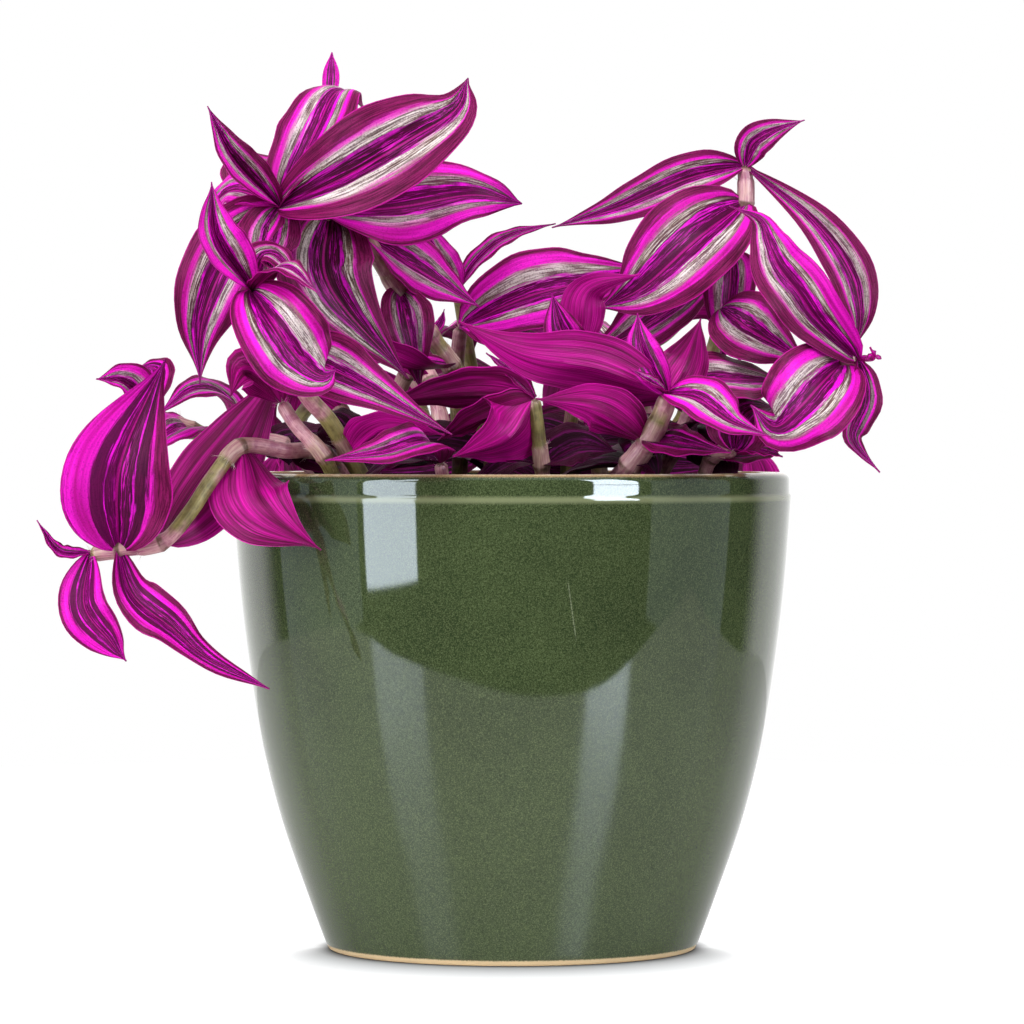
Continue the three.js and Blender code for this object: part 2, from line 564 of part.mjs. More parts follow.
function inPotOrSoil(point) {
  const radius = Math.hypot(point.x, point.y);
  if (point.z > POT.height + CLEAR.pot) return false;
  if (radius > outerRadius(point.z) + CLEAR.pot) return point.z < CLEAR.pot;
  return radius > innerRadius(point.z) - CLEAR.pot || point.z < SOIL.top + SOIL.crown + CLEAR.pot;
}

function samples(leaf, shift) {
  const found = [];
  for (let i = 1; i <= CLEAR.alongSamples; i += 1) {
    for (let j = -CLEAR.halfSamples; j <= CLEAR.halfSamples; j += 1) {
      const u = i / CLEAR.alongSamples;
      found.push({ u, point: bladePoint(leaf, u, j / CLEAR.halfSamples, shift).point });
    }
  }
  return found;
}

const hits = (leaf, owner, shift) => samples(leaf, shift)
  .filter(({ u, point }) => inPotOrSoil(point) || blocked(point, owner, u)).length;

// The smallest bend that clears the leaf, or the one that comes nearest to it
function settle(leaf, owner) {
  let best = { shift: 0, count: Infinity };
  for (let bend = 0; bend <= leaf.most && best.count > 0; bend += CLEAR.step) {
    for (const shift of bend ? [-bend, bend] : [0]) {
      const count = hits(leaf, owner, shift);
      if (count < best.count) best = { shift, count };
    }
  }
  leaf.shift = best.shift;
  return best.count;
}

function standStem(shoot) {
  const curve = stemCurve(shoot);
  const count = Math.ceil(curve.getLength() / STEM.sample);
  for (let i = 0; i <= count; i += 1) {
    stand(curve.getPoint(i / count), shoot.name, 0, shoot.radius + CLEAR.stem);
  }
}

// Settles a leaf among what stands. One that a rule placed is left out where it finds no room.
function takesRoom(leaf, owner) {
  let left = settle(leaf, owner);
  if (left > 0 && leaf.ruled) {
    leaf.width *= BACK_LEAF.smaller;
    left = settle(leaf, owner);
  }
  if (left > 0 && leaf.ruled) return false;
  for (const { u, point } of samples(leaf, leaf.shift)) stand(point, owner, u, CLEAR.leaf);
  return true;
}

// ---------------------------------------------------------------- assembly

const frontShoots = FRONT_SHOOTS.map(frontShoot);
const shoots = [...frontShoots, ...BACK_SHOOTS.map(backShoot)];
shoots.forEach(standStem);
for (const shoot of shoots) {
  shoot.leaves = shoot.leaves.filter((leaf) => takesRoom(leaf, shoot.name));
}
for (const side of [-1, 1]) {
  for (const shoot of frontShoots) {
    for (let left = LOW_LEAF.tries; left > 0; left -= 1) {
      const leaf = lowLeaf(shoot.path[0], side);
      if (takesRoom(leaf, shoot.name)) {
        shoot.leaves.push(leaf);
        break;
      }
    }
  }
}

const group = new THREE.Group();
group.add(meshFrom('pot', potSolid(), COLOURS.pot, 0.15));
group.add(meshFrom('soil', soilSolid(shoots), COLOURS.soil, 0.95));
shoots.forEach((shoot, i) => {
  const solid = shoot.leaves.reduce((sum, leaf) => sum.add(bladeSolid(leaf)), stemSolid(shoot));
  group.add(meshFrom(shoot.name, solid, COLOURS.leaf[i % COLOURS.leaf.length], 0.5));
});

export default group;
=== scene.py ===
"""Potted tradescantia: a green glazed cover pot, its soil, and leafy stems striped in silver and magenta.

It is laid out as a Blender add-on and builds the whole scene when it is run as a script. Places are in
millimetres until a mesh is made, and Blender's own units are metres. +Z is up and -Y is the front.
"""

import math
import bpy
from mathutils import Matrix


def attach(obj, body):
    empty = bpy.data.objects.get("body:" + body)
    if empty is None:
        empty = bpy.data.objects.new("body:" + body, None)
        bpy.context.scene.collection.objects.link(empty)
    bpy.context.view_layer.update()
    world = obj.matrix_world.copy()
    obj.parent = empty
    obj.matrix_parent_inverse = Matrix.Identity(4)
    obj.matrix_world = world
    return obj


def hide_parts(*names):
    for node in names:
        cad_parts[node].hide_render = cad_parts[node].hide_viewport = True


bl_info = {
    "name": "Potted tradescantia",
    "version": (1, 0, 0),
    "blender": (4, 5, 0),
    "location": "View3D > Sidebar > Plant",
    "description": "Builds a trailing striped house plant in a glazed cover pot",
    "category": "Object",
}

import bpy
import numpy as np
from bpy.props import FloatProperty, FloatVectorProperty, IntProperty, PointerProperty
from mathutils import Vector

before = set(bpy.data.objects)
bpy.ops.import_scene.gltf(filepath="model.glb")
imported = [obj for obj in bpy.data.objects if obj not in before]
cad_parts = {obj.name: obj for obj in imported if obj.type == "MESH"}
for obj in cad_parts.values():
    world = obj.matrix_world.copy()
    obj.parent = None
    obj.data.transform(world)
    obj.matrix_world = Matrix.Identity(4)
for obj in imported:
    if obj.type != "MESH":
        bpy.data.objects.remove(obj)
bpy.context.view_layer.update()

MM = 0.001
ABOVE = np.array((0.0, 0.0, 1.0))
DEPTH = np.array((0.0, 1.0, 0.0))
WHITE = (1.0, 1.0, 1.0, 1.0)

# ---------------------------------------------------------------- sizes of the plant and its pot, in mm

POT = {
    "height": 119.6, "wall": 5.0, "floor": 7.0, "rim_radius": 69.7, "ridge_height": 113.6, "belly_steps": 7,
}
BELLY = [(46.2, 0), (50.7, 12), (57.7, 32), (62.7, 52), (66, 72), (68.4, 92), (70.1, 113.6)]
SOIL = {"top": 105.0, "crown": 1.5, "gap": 0.3, "hole_depth": 18.0}
STEM = {"straight_above": 8.0, "sample": 3.0}
BLADE = {"base_half": 1.1, "tip_half": 0.4, "base_fold": 35.0, "waves": 2}

# The distance and height that the front elevation is seen from, the downward tilt in degrees, and the lens
VIEW = {"distance": 1265.0, "height": 130.3, "pitch": 0.939, "lens": 176.9, "sensor": 36.0}

# The foot's rounded edge, as (radius, height), and the rim's rounded lip: how far it rises, how far below the
# top the plain band ends, and the angles of its points in degrees
FOOT_EDGE = [(44.6, 0), (45.6, 0.05), (46.1, 0.3), (46.35, 0.8)]
LIP = {"rise": 1.9, "below_top": 2.4, "first": 6, "step": 12}

# Where each row of random draws starts
SEEDS = {"layout": 4711, "blades": 7907, "crumbs": 9241}

# How far leaves stay from each other, from stems, from the pot and from the soil
CLEAR = {"leaf": 2.4, "stem": 1.6, "pot": 1.0, "step": 2, "most": 26, "along": 16, "half": 3, "meeting": 0.35}


def leaf(at, width, up, to, **habit):
    return {"at": at, "width": width, "up": up, "to": to, **habit}


def shoot(name, radius, root, path, *leaves):
    return {"name": name, "radius": radius, "root": root, "path": path, "leaves": leaves}


# ---------------------------------------------------------------- the shoots that face the front

# root is (x, y) in the soil. Each leaf grows at a point of its stem's path, counted from 1, and runs through
# the points in to. Points are (across, up, depth) on a front elevation. up is the way that the upper face
# looks. vivid runs from dark plum, 0, to bright magenta, 1, and silver is the strength of the pale bands.
# silver below 0 is painted shade instead, which darkens the low leaves near the soil.
FRONT_SHOOTS = [
    shoot(
        "shoot_left_trailing", 2.1, (-38, -22),
        [(-47, 124, -33), (-57, 125, -40), (-68, 126, -46), (-75, 118.5, -50), (-81, 109.5, -52),
         (-88, 102, -52), (-99, 100, -50), (-106, 99, -49)],
        leaf(3, 21, (-0.1, 0.95, 0.3), [(-64.5, 111, -57), (-48, 100, -60)], fold=10, wave=1.2, vivid=0.45,
             silver=0),
        leaf(6, 22, (0.4, 0.85, 0.3), [(-73, 122.5, -41), (-57, 147, -35)], fold=12, vivid=0.3, silver=0),
        leaf(7, 29, (0.1, -0.97, 0.1), [(-98.5, 121.5, -58), (-87, 148, -58)], fold=16, wave=0.8,
             vivid=0.65, silver=0, lean=-0.7),
        leaf(8, 4.5, (0.3, -0.8, 0.5), [(-114, 99.5, -50), (-119.5, 107.5, -50)], fold=30, vivid=0.7,
             silver=0.1),
        leaf(8, 13, (-0.1, -0.95, 0.2), [(-107.5, 86, -54), (-101, 77, -56), (-97, 72, -57)], fold=14,
             twist=-20, vivid=0.85, silver=0),
        leaf(7, 12, (0.3, -0.9, 0.3),
             [(-95.5, 88.5, -56), (-86, 80.5, -60), (-76.5, 72.5, -63), (-61, 65, -64)], fold=14, wave=1.4,
             vivid=0.6, silver=0),
    ),
    shoot(
        "shoot_left_front", 2.3, (-34, -34),
        [(-41, 124, -38), (-46, 132.5, -43), (-52, 139.5, -48), (-57, 150, -54), (-61, 158, -58),
         (-65.5, 165, -61)],
        leaf(6, 22, (0.05, -0.95, 0.2),
             [(-60, 157, -78), (-54, 148.5, -78), (-48, 143.8, -77), (-44.3, 145.2, -75)], fold=12,
             vivid=0.7, silver=0.95),
        leaf(6, 15, (0.3, -0.9, 0.2), [(-74.5, 178.5, -66), (-75.5, 192.5, -66)], fold=36, vivid=0.9,
             silver=0.95),
        leaf(6, 12, (0.2, -0.5, 0.85), [(-61, 174, -62), (-52, 166, -66)], fold=8, vivid=0.3, silver=0.8),
        leaf(6, 10, (0.2, -0.5, 0.85), [(-57, 170.5, -70), (-48.5, 164.5, -74)], fold=8, vivid=0.4,
             silver=0.9),
        leaf(4, 18, (0.25, -0.93, 0.2), [(-47, 146, -66), (-36.5, 141, -71), (-15, 129, -70)], fold=12,
             vivid=0.45, silver=0.85),
        leaf(1, 14, (0, 0.5, 0.85), [(-31, 130.5, -52), (-17, 129, -52)], fold=10, vivid=0.8, silver=0.25),
    ),
    shoot(
        "shoot_left_tall", 2.4, (-6, -8),
        [(-5, 124, -8), (-10, 138, -12), (-15, 146, -14), (-20.5, 154, -18), (-28.5, 165, -22),
         (-37.5, 179, -30), (-46, 184.5, -38), (-58.5, 186, -46)],
        leaf(8, 25, (-0.3, -0.93, 0.2),
             [(-42, 193.5, -60), (-25.5, 203, -66), (-14, 210.5, -64), (-11, 218.5, -60)], fold=12, wave=1,
             vivid=0.15, silver=1),
        leaf(7, 23, (0, -0.9, 0.4), [(-28, 186, -42), (-10, 189, -46), (2.5, 187, -42)], fold=8, wave=1.5,
             vivid=0.85, silver=0.5),
        leaf(8, 4.4, (0, -1, 0), [(-50, 203, -24), (-46, 214, -21), (-45.2, 225, -20)], peak=3, vivid=1,
             silver=0.2),
        leaf(8, 22, (-0.35, -0.6, 0.75), [(-50, 203, -46), (-43.5, 215, -40), (-36, 210, -32)], fold=6,
             vivid=0.55, silver=0.8),
        leaf(8, 12, (0.2, -0.9, 0.3), [(-70, 198, -54), (-76.5, 211.5, -58)], fold=36, vivid=0.5,
             silver=0.8, lean=-0.6),
        leaf(8, 14, (-0.2, -0.6, 0.75), [(-70, 190, -44), (-77.5, 183, -40)], fold=10, vivid=0.9, silver=0.6),
        leaf(8, 17, (0, -0.7, 0.7), [(-65, 195, -34), (-52, 197, -26)], fold=8, vivid=0.5, silver=0.5),
        leaf(8, 16, (0, -0.9, 0.45), [(-61.5, 176, -54), (-60, 168, -56)], fold=6, vivid=0, silver=0.35),
        leaf(8, 21, (-0.2, -0.95, 0.15), [(-70.5, 175, -56), (-78.5, 158, -60), (-80, 142, -58)], fold=10,
             wave=0.8, vivid=0.5, silver=0.8),
        leaf(7, 25, (0.15, -0.97, 0.1), [(-46, 166.5, -50), (-26, 143, -46)], fold=8, vivid=0.1, silver=0.9),
        leaf(5, 14, (0.25, -0.95, 0), [(-26, 155.5, -32), (-23, 140, -30)], fold=12, vivid=0.15, silver=0.5),
        leaf(6, 17, (0.1, -0.85, 0.45), [(-23, 170, -20), (-8, 161, -12)], fold=12, vivid=0.8, silver=0.5),
        leaf(3, 13, (0.4, 0.8, 0.4), [(-27, 146, -46), (-39, 152, -56), (-47, 164, -58)], fold=14,
             vivid=0.6, silver=0),
        leaf(4, 2.6, (0, -1, 0.1), [(-18, 157, -17), (-17, 160.5, -16)], fold=20, vivid=0.9, silver=0),
    ),
    shoot(
        "shoot_right_tall", 2.3, (24, 6),
        [(22, 124, 4), (28.5, 147, 0), (39, 155, -4), (50, 167, -8), (55, 174, -10), (58.5, 187, -12),
         (58.5, 196.5, -12)],
        leaf(7, 13, (-0.2, -0.95, 0.25), [(45, 193.5, -12), (27, 186, -14), (10, 181, -14)], fold=12,
             vivid=0.5, silver=0.8),
        leaf(6, 26, (-0.2, -0.95, 0.2), [(46.5, 178, -26), (33, 166, -30), (21.5, 160.5, -28)], fold=10,
             vivid=0.6, silver=1),
        leaf(7, 12, (0, -0.97, 0.2),
             [(75, 183.5, -20), (84.5, 171, -24), (87.5, 160, -26), (86.5, 151, -26)], fold=12, peak=1,
             vivid=0.3, silver=0.75),
        leaf(7, 9, (0, -1, 0.1), [(60.5, 202, -15), (66, 205.5, -18), (73.5, 208, -18)], fold=10, vivid=0.6,
             silver=0.8),
        leaf(5, 14, (-0.1, -0.85, 0.5), [(55, 168, -18), (54, 158, -22), (53, 146, -24)], fold=12,
             vivid=0.7, silver=0.7),
        leaf(4, 17, (-0.1, -0.8, 0.55), [(38, 159, -16), (28, 153, -18), (18, 149, -18)], fold=12,
             vivid=0.5, silver=0.4),
        leaf(1, 12, (0, -0.95, 0.3), [(36, 121.5, 12), (56, 121, 12)], fold=8, vivid=0.1, silver=-0.5),
    ),
    shoot(
        "shoot_right_hanging", 2.1, (44, -10),
        [(56, 126, -12), (66, 134, -18), (76, 143, -24), (83, 147, -30), (87, 147.5, -31)],
        leaf(5, 17, (-0.1, -0.95, 0.2),
             [(77, 157.5, -38), (72, 164.5, -41), (67, 171, -41), (64.5, 177, -40), (62, 183, -38),
              (54.5, 186.5, -36)],
             fold=16, wave=1, peak=0.6, vivid=0.6, silver=0.95, lean=0.8),
        leaf(4, 24, (0, -0.97, 0.2), [(78, 142, -42), (72, 135.5, -47), (66, 131, -48), (60, 136.5, -47)],
             fold=6, vivid=0.7, silver=1),
        leaf(5, 10, (0.3, -0.9, 0.1), [(88, 138, -36), (85, 128, -38), (92.5, 119.5, -40)], fold=20,
             twist=30, vivid=0.4, silver=0.4),
        leaf(5, 4, (0.2, -0.5, 0.8), [(91, 148, -34), (90, 151, -36)], fold=25, vivid=0.7, silver=0.2),
    ),
    shoot(
        "shoot_right_front", 2.9, (22, -40),
        [(29.5, 121, -46), (34, 127, -49), (38, 135, -52), (39, 139, -53)],
        leaf(4, 17, (0.1, 0.85, 0.4), [(22, 145.5, -60), (3, 149, -64), (-13.5, 157.5, -62)], fold=12,
             vivid=0.6, silver=0),
        leaf(4, 10, (-0.1, -0.9, 0.1), [(33, 150, -55), (31.5, 159.5, -53)], fold=20, vivid=0.9, silver=0.1),
        leaf(4, 20, (-0.1, -0.5, 0.85), [(48, 142.5, -44), (60, 142.5, -36), (70, 142, -30)], fold=6,
             twist=-30, vivid=0.3, silver=0.7),
        leaf(4, 15, (0.05, -0.75, 0.6), [(47, 137.5, -62), (55, 132, -66), (65, 128.5, -64)], fold=10,
             twist=15, vivid=0.75, silver=0.8),
        leaf(4, 5, (0.2, -0.6, 0.75), [(34.5, 142, -57), (29.5, 145.5, -58)], fold=28, vivid=0.5, silver=0.6),
        leaf(4, 14, (-0.1, 0.9, 0.2), [(44, 147, -42), (47, 158, -36)], fold=12, vivid=0.5, silver=0),
        leaf(2, 15, (0, 0.8, 0.5), [(21.5, 135, -58), (6, 138, -50)], fold=12, vivid=0.5, silver=0),
        leaf(2, 15, (0, -0.5, 0.85), [(42, 126.5, -54), (55, 124.5, -56)], fold=6, vivid=0.2, silver=-0.3),
    ),
    shoot(
        "shoot_centre_front", 2, (8, -44),
        [(7.5, 121, -49), (6.5, 130, -53), (5.5, 138, -56)],
        leaf(3, 24, (0.2, 0.6, 0.75), [(-1, 128, -60), (-15, 123.5, -62)], fold=12, vivid=0.7, silver=0.1),
        leaf(3, 17, (0, 0.6, 0.8), [(-12, 139, -56), (-34, 137, -52)], fold=12, vivid=0.3, silver=-0.1),
        leaf(3, 12, (0, 0.6, 0.8), [(-9, 132.5, -63), (-19, 127.5, -63)], fold=12, vivid=0.3, silver=-0.1),
        leaf(3, 5, (0.5, -0.8, 0.3), [(0, 144, -56), (-6.5, 149.5, -54)], fold=25, vivid=0.4, silver=0.2),
    ),
    shoot(
        "shoot_centre_upright", 2, (14, -16),
        [(14, 124, -20), (15.5, 138, -26), (17, 147, -32)],
        leaf(3, 12, (0, -0.9, 0.1), [(12.5, 155, -38), (10, 164.5, -38)], fold=26, vivid=0.7, silver=0),
        leaf(3, 13, (-0.3, 0.9, 0.3), [(18, 157, -36), (20, 165.5, -38), (32.5, 169.5, -42)], fold=14,
             vivid=0.8, silver=0),
    ),
    shoot(
        "shoot_right_inner", 2.1, (34, -16),
        [(40, 124, -16), (46, 138, -19), (51, 152, -23), (52.5, 160.5, -26)],
        leaf(4, 20, (0, -0.9, 0.45), [(61, 154.5, -31), (75, 146.5, -30)], fold=8, vivid=0.4, silver=0.85),
    ),
    shoot(
        "shoot_centre_back", 2.2, (-14, 12),
        [(-13, 124, 8), (-14, 142, 2), (-13, 156, -6)],
        leaf(3, 24, (-0.1, -0.85, 0.5), [(4, 163.5, -14), (20, 167.5, -16), (36, 171, -14)], fold=8,
             vivid=0.8, silver=0.85),
        leaf(3, 16, (0, -0.6, 0.8), [(4, 151.5, -16), (20, 150, -14)], fold=10, vivid=0.7, silver=0.6),
        leaf(1, 12, (0, -0.95, 0.3), [(4, 121, 18), (24, 119.5, 20)], fold=8, vivid=0.1, silver=-0.5),
    ),
    shoot(
        "shoot_back_slender", 1.9, (-2, 22),
        [(-5, 124, 16), (-10, 145, 8), (-13.5, 165, 0)],
        leaf(3, 6, (-0.3, -0.8, 0.5), [(-9.5, 171.5, 0), (-3.5, 177, 0), (3, 180, 0), (11, 182, 0)],
             fold=18, vivid=0.6, silver=0.4),
        leaf(3, 10, (0.2, -0.9, 0.2), [(-19, 174, -4), (-25, 186, -8)], fold=14, vivid=0.9, silver=0.6),
        leaf(1, 12, (0, -0.95, 0.3), [(-22, 121, 24), (-42, 119.5, 24)], fold=8, vivid=0.1, silver=-0.5),
    ),
    shoot(
        "shoot_left_back", 2.2, (-44, 2),
        [(-57, 126, 0), (-70, 127, -4), (-80, 130, -8), (-90, 134, -10)],
        leaf(4, 13, (-0.1, -0.8, 0.6), [(-97, 141.5, -14), (-104.5, 143, -18)], fold=22, vivid=0.8,
             silver=0.6),
        leaf(4, 10, (-0.2, -0.6, 0.7), [(-89, 144.5, 0), (-94.5, 146, 4)], fold=16, vivid=0.4, silver=0),
        leaf(2, 13, (0, -0.6, 0.8), [(-72.5, 137.5, -10), (-80, 140, -18), (-89, 134, -24)], fold=10,
             vivid=0.6, silver=0.6),
        leaf(3, 14, (0.1, -0.5, 0.85), [(-85, 130, -16), (-93, 124, -20)], fold=10, vivid=0.8, silver=0.3),
    ),
    shoot(
        "shoot_left_short", 2, (-42, -36),
        [(-47, 123, -43), (-54, 131, -43), (-58, 137, -41)],
        leaf(3, 15, (0.2, 0.85, 0.4), [(-62.5, 142.5, -41), (-67, 145, -41), (-69.5, 138.5, -42)], fold=16,
             vivid=0.4, silver=0.1),
    ),
    shoot(
        "shoot_right_low", 2, (46, -30),
        [(50, 123, -32), (56, 125, -38)],
        leaf(1, 13, (-0.2, -0.6, 0.75), [(61, 124.5, -32), (71, 127.5, -28)], fold=14, vivid=0.3, silver=0),
        leaf(2, 6, (0, -0.6, 0.8), [(63, 124.5, -44), (68, 123.5, -48)], fold=20, vivid=0.3, silver=0.1),
        leaf(2, 18, (0, -0.8, 0.6), [(59, 134, -42), (67, 136, -36)], fold=10, vivid=0.2, silver=0),
    ),
    shoot(
        "shoot_front_low", 1.9, (-16, -46),
        [(-18, 122, -53)],
        leaf(1, 13, (0, -0.75, 0.65), [(-22, 127, -66), (-33, 124.5, -79), (-47, 122.5, -78)], fold=10,
             vivid=0.5, silver=0.2),
    ),
]

# ---------------------------------------------------------------- the shoots that arch over the back

# Each has its bearing, in degrees from +X towards +Y, its root's distance from the axis, where its arch ends
# and tops, and how far it has sunk at its end.
BACK_SHOOTS = [
    ("shoot_back_1", 42, 46, 82, 137, 12),
    ("shoot_back_2", 64, 44, 88, 143, 24),
    ("shoot_back_3", 89, 42, 95, 145, 36),
    ("shoot_back_4", 114, 44, 88, 142, 26),
    ("shoot_back_5", 137, 46, 82, 138, 14),
    ("shoot_back_inner_1", 58, 24, 54, 150, 6),
    ("shoot_back_inner_2", 124, 26, 54, 147, 8),
]

# How many leaves an arch carries, its stem's radius, the share of it that rises, how unevenly its leaves
# spread, in degrees, how far along a leaf bends, and how much of its end leaf's fall comes before the bend
ARCH = {"leaves": 5, "radius": 2.2, "rising": 0.6, "uneven": 16, "bend_at": 0.55, "end_bend": 0.3}

# spread is the angle between a side leaf and its stem, and edge is how far across the leaves reach before
# they hang. end_reach and end_sink are shares of the last leaf's length, and most is the furthest bend.
BACK_LEAF = {
    "length": 44, "width": 20, "spread": 54, "rise": 5, "drop": 8, "fold": 12, "wave": 0.8, "smaller": 0.75,
    "most": 14, "end_reach": 0.6, "end_sink": 0.62, "edge": 60,
}

# Older leaves low on the front shoots, one to each side, which lie over the soil inside the rim and face
# the front. turn is how far they may point away from straight across. Their silver below 0 paints shade on
# them.
LOW_LEAF = {
    "length": 34, "width": 18, "turn": 50, "inside": 56, "front": -48, "low": 116, "high": 126, "arch": 3,
    "fold": 8, "most": 10, "tries": 8, "vivid": 0.1, "silver": -0.85,
}


class Draw:
    """A repeatable draw between 0 and 1."""

    FACTOR, LIMIT = 16807, 2147483647

    def __init__(self, seed):
        self.seed = seed

    def __call__(self):
        self.seed = (self.seed * self.FACTOR) % self.LIMIT
        return self.seed / self.LIMIT


# ---------------------------------------------------------------- curves and the wall of the pot


def smooth_curve(points, before_first, after_last, place):
    """The smooth curve through points, at places that count from the first of them."""
    padded = np.vstack([before_first, points, after_last])
    first = np.minimum(np.floor(place).astype(int), len(points) - 2)
    before, start, end, after = (padded[first + step] for step in range(4))
    weight = (place - first)[:, None]
    leave, arrive = 0.5 * (end - before), 0.5 * (after - start)
    square = weight * weight
    bend = -3 * start + 3 * end - 2 * leave - arrive
    return start + leave * weight + bend * square + (2 * start - 2 * end + leave + arrive) * square * weight


def along(points, t):
    """Points on the smooth curve through points, for an array t that runs from 0 to 1."""
    points, t = np.asarray(points, float), np.asarray(t, float)
    first, last = 2 * points[0] - points[1], 2 * points[-1] - points[-2]
    return smooth_curve(points, first, last, (len(points) - 1) * t)


def belly_wall(steps):
    """The pot's outside from foot to ridge, as rows of radius and height."""
    points = np.asarray(BELLY, float)
    return smooth_curve(points, points[0], points[-1], (len(points) - 1) * np.arange(steps + 1) / steps)


WALL = belly_wall(POT["belly_steps"])


def outer_radius(height):
    radius = np.interp(height, WALL[:, 1], WALL[:, 0])
    return np.where(height > WALL[-1, 1], POT["rim_radius"], radius)


# ---------------------------------------------------------------- layout of stems and leaves


def unit(vector):
    return vector / np.linalg.norm(vector, axis=-1, keepdims=True)


def seen(points):
    """Places in space for (across, up, depth) on the front elevation."""
    points = np.asarray(points, float)
    scale = (VIEW["distance"] + points[:, 2]) / VIEW["distance"]
    up = VIEW["height"] + (points[:, 1] - VIEW["height"]) * scale
    return np.column_stack([points[:, 0] * scale, points[:, 2], up])


def grown(base, to, width, up, ruled, **habit):
    """A leaf from its base through the points of to. A ruled leaf was placed by a rule and may be dropped."""
    leaf = {"fold": 12, "twist": 0, "wave": 0, "peak": 0.7, "shift": 0, "most": CLEAR["most"], "vivid": 0.5,
            "silver": 1.0, "lean": 0.0}
    leaf.update(habit)
    leaf.update(width=width, ruled=ruled, aside=ABOVE if ruled else DEPTH, up=unit(np.asarray(up, float)))
    leaf["curve"] = np.vstack([base, *to])
    return leaf


def front_shoot(shoot):
    places = seen(shoot["path"])
    leaves = []
    for leaf in shoot["leaves"]:
        habit = {key: value for key, value in leaf.items() if key not in ("at", "to", "width", "up")}
        base = places[leaf["at"] - 1]
        leaves.append(grown(base, seen(leaf["to"]), leaf["width"], leaf["up"], False, **habit))
    return {**shoot, "path": places, "leaves": leaves}


def low_leaf(base, side, draw):
    """A leaf over the soil, from the foot of a front shoot, pulled in where it would reach the rim."""
    bearing = (math.pi if side < 0 else 0) + math.radians(LOW_LEAF["turn"]) * (2 * draw() - 1)
    length = LOW_LEAF["length"] * (0.8 + 0.3 * draw())
    tip = base + length * np.array((math.cos(bearing), math.sin(bearing), 0))
    pull = min(1, LOW_LEAF["inside"] / math.hypot(tip[0], tip[1]))
    height = LOW_LEAF["low"] + (LOW_LEAF["high"] - LOW_LEAF["low"]) * draw()
    tip = np.array((tip[0] * pull, max(tip[1] * pull, LOW_LEAF["front"]), height))
    via = (base + tip) / 2 + LOW_LEAF["arch"] * ABOVE
    habit = {key: LOW_LEAF[key] for key in ("fold", "most", "vivid", "silver")}
    return grown(base, [via, tip], LOW_LEAF["width"], (0, -0.55, 0.8), True, **habit)


def hang(point, sink):
    """Lowers a leaf's point, and more where it would reach past the plant's edge."""
    past = max(0, abs(point[0]) - BACK_LEAF["edge"])
    return point - np.array((math.copysign(past, point[0]), 0, sink + past / 2))


def back_shoot(draw, name, bearing, root_radius, reach, height, drop):
    """An arch over the rim, with leaves left and right in turn and one at its end."""
    turn = math.radians(bearing)
    out = np.array((math.cos(turn), math.sin(turn), 0))
    left = np.array((-out[1], out[0], 0))
    foot = SOIL["top"] + STEM["straight_above"]
    path = []
    rising = ARCH["rising"]
    for i in range(1, ARCH["leaves"] + 1):
        share = i / ARCH["leaves"]
        rise = math.sin(math.pi / 2 * share / rising) if share < rising else 1
        fall = max(0, (share - rising) / (1 - rising)) ** 2 * drop
        climb = foot + (height - foot) * rise - fall
        path.append(out * (root_radius + (reach - root_radius) * share) + climb * ABOVE)
    leaves = []
    for i, base in enumerate(path):
        end = i == ARCH["leaves"] - 1
        spread = 0
        if not end:
            uneven = ARCH["uneven"] * (draw() - 0.5)
            spread = math.radians(BACK_LEAF["spread"] + uneven) * (1 if i % 2 else -1)
        length = BACK_LEAF["length"] * (0.85 + 0.3 * draw())
        heading = out * math.cos(spread) + left * math.sin(spread)
        width = BACK_LEAF["width"] * (0.85 + 0.3 * draw())
        reached = length * (BACK_LEAF["end_reach"] if end else 1)
        sunk = BACK_LEAF["end_sink"] * length if end else BACK_LEAF["drop"]
        bent = sunk * ARCH["end_bend"] if end else -BACK_LEAF["rise"]
        via = hang(base + heading * reached * ARCH["bend_at"], bent)
        tip = hang(base + heading * reached, sunk)
        habit = {key: BACK_LEAF[key] for key in ("fold", "wave", "most")}
        leaves.append(grown(base, [via, tip], width, out * (0.8 if end else 0.3) + ABOVE, True, **habit))
    return shoot(name, ARCH["radius"], out[:2] * root_radius, np.array(path), *leaves)


def stem_points(shoot):
    top, deep = SOIL["top"], SOIL["hole_depth"]
    heights = (top - deep, top - deep / 2, top, top + STEM["straight_above"])
    foot = [(*shoot["root"], height) for height in heights]
    return np.vstack([foot, shoot["path"]])


def half_width(leaf, u, least_tip):
    swell = np.maximum(0, np.sin(np.pi * u ** leaf["peak"])) ** (0.8 + 0.5 * u)
    least = np.where(u < 0.5, BLADE["base_half"], least_tip)
    return np.maximum(least, leaf["width"] / 2 * swell)


def blade_points(leaf, u, v, shift, least_tip=BLADE["tip_half"]):
    """The blade's middle sheet and its normals: u runs from base to tip, v from -1 to 1 across."""
    curve = leaf["curve"]
    forward = unit(along(curve, np.minimum(1, u + 0.02)) - along(curve, np.maximum(0, u - 0.02)))
    side = unit(np.cross(forward, leaf["up"]))
    face = np.cross(side, forward)
    turn = (math.radians(leaf["twist"]) * u)[:, None]
    across = side * np.cos(turn) + face * np.sin(turn)
    normal = face * np.cos(turn) - side * np.sin(turn)
    fold = np.radians(leaf["fold"] + BLADE["base_fold"] * (1 - u) ** 4)
    half = half_width(leaf, u, least_tip)
    wave = leaf["wave"] * np.sin(2 * np.pi * BLADE["waves"] * u) * v * np.abs(v)
    point = along(curve, u) + across * (half * v * np.cos(fold))[:, None]
    point = point + normal * (half * np.abs(v) * np.sin(fold) + wave)[:, None]
    return point + leaf["aside"] * (shift * u ** 1.3)[:, None], normal


# ---------------------------------------------------------------- keeping leaves clear


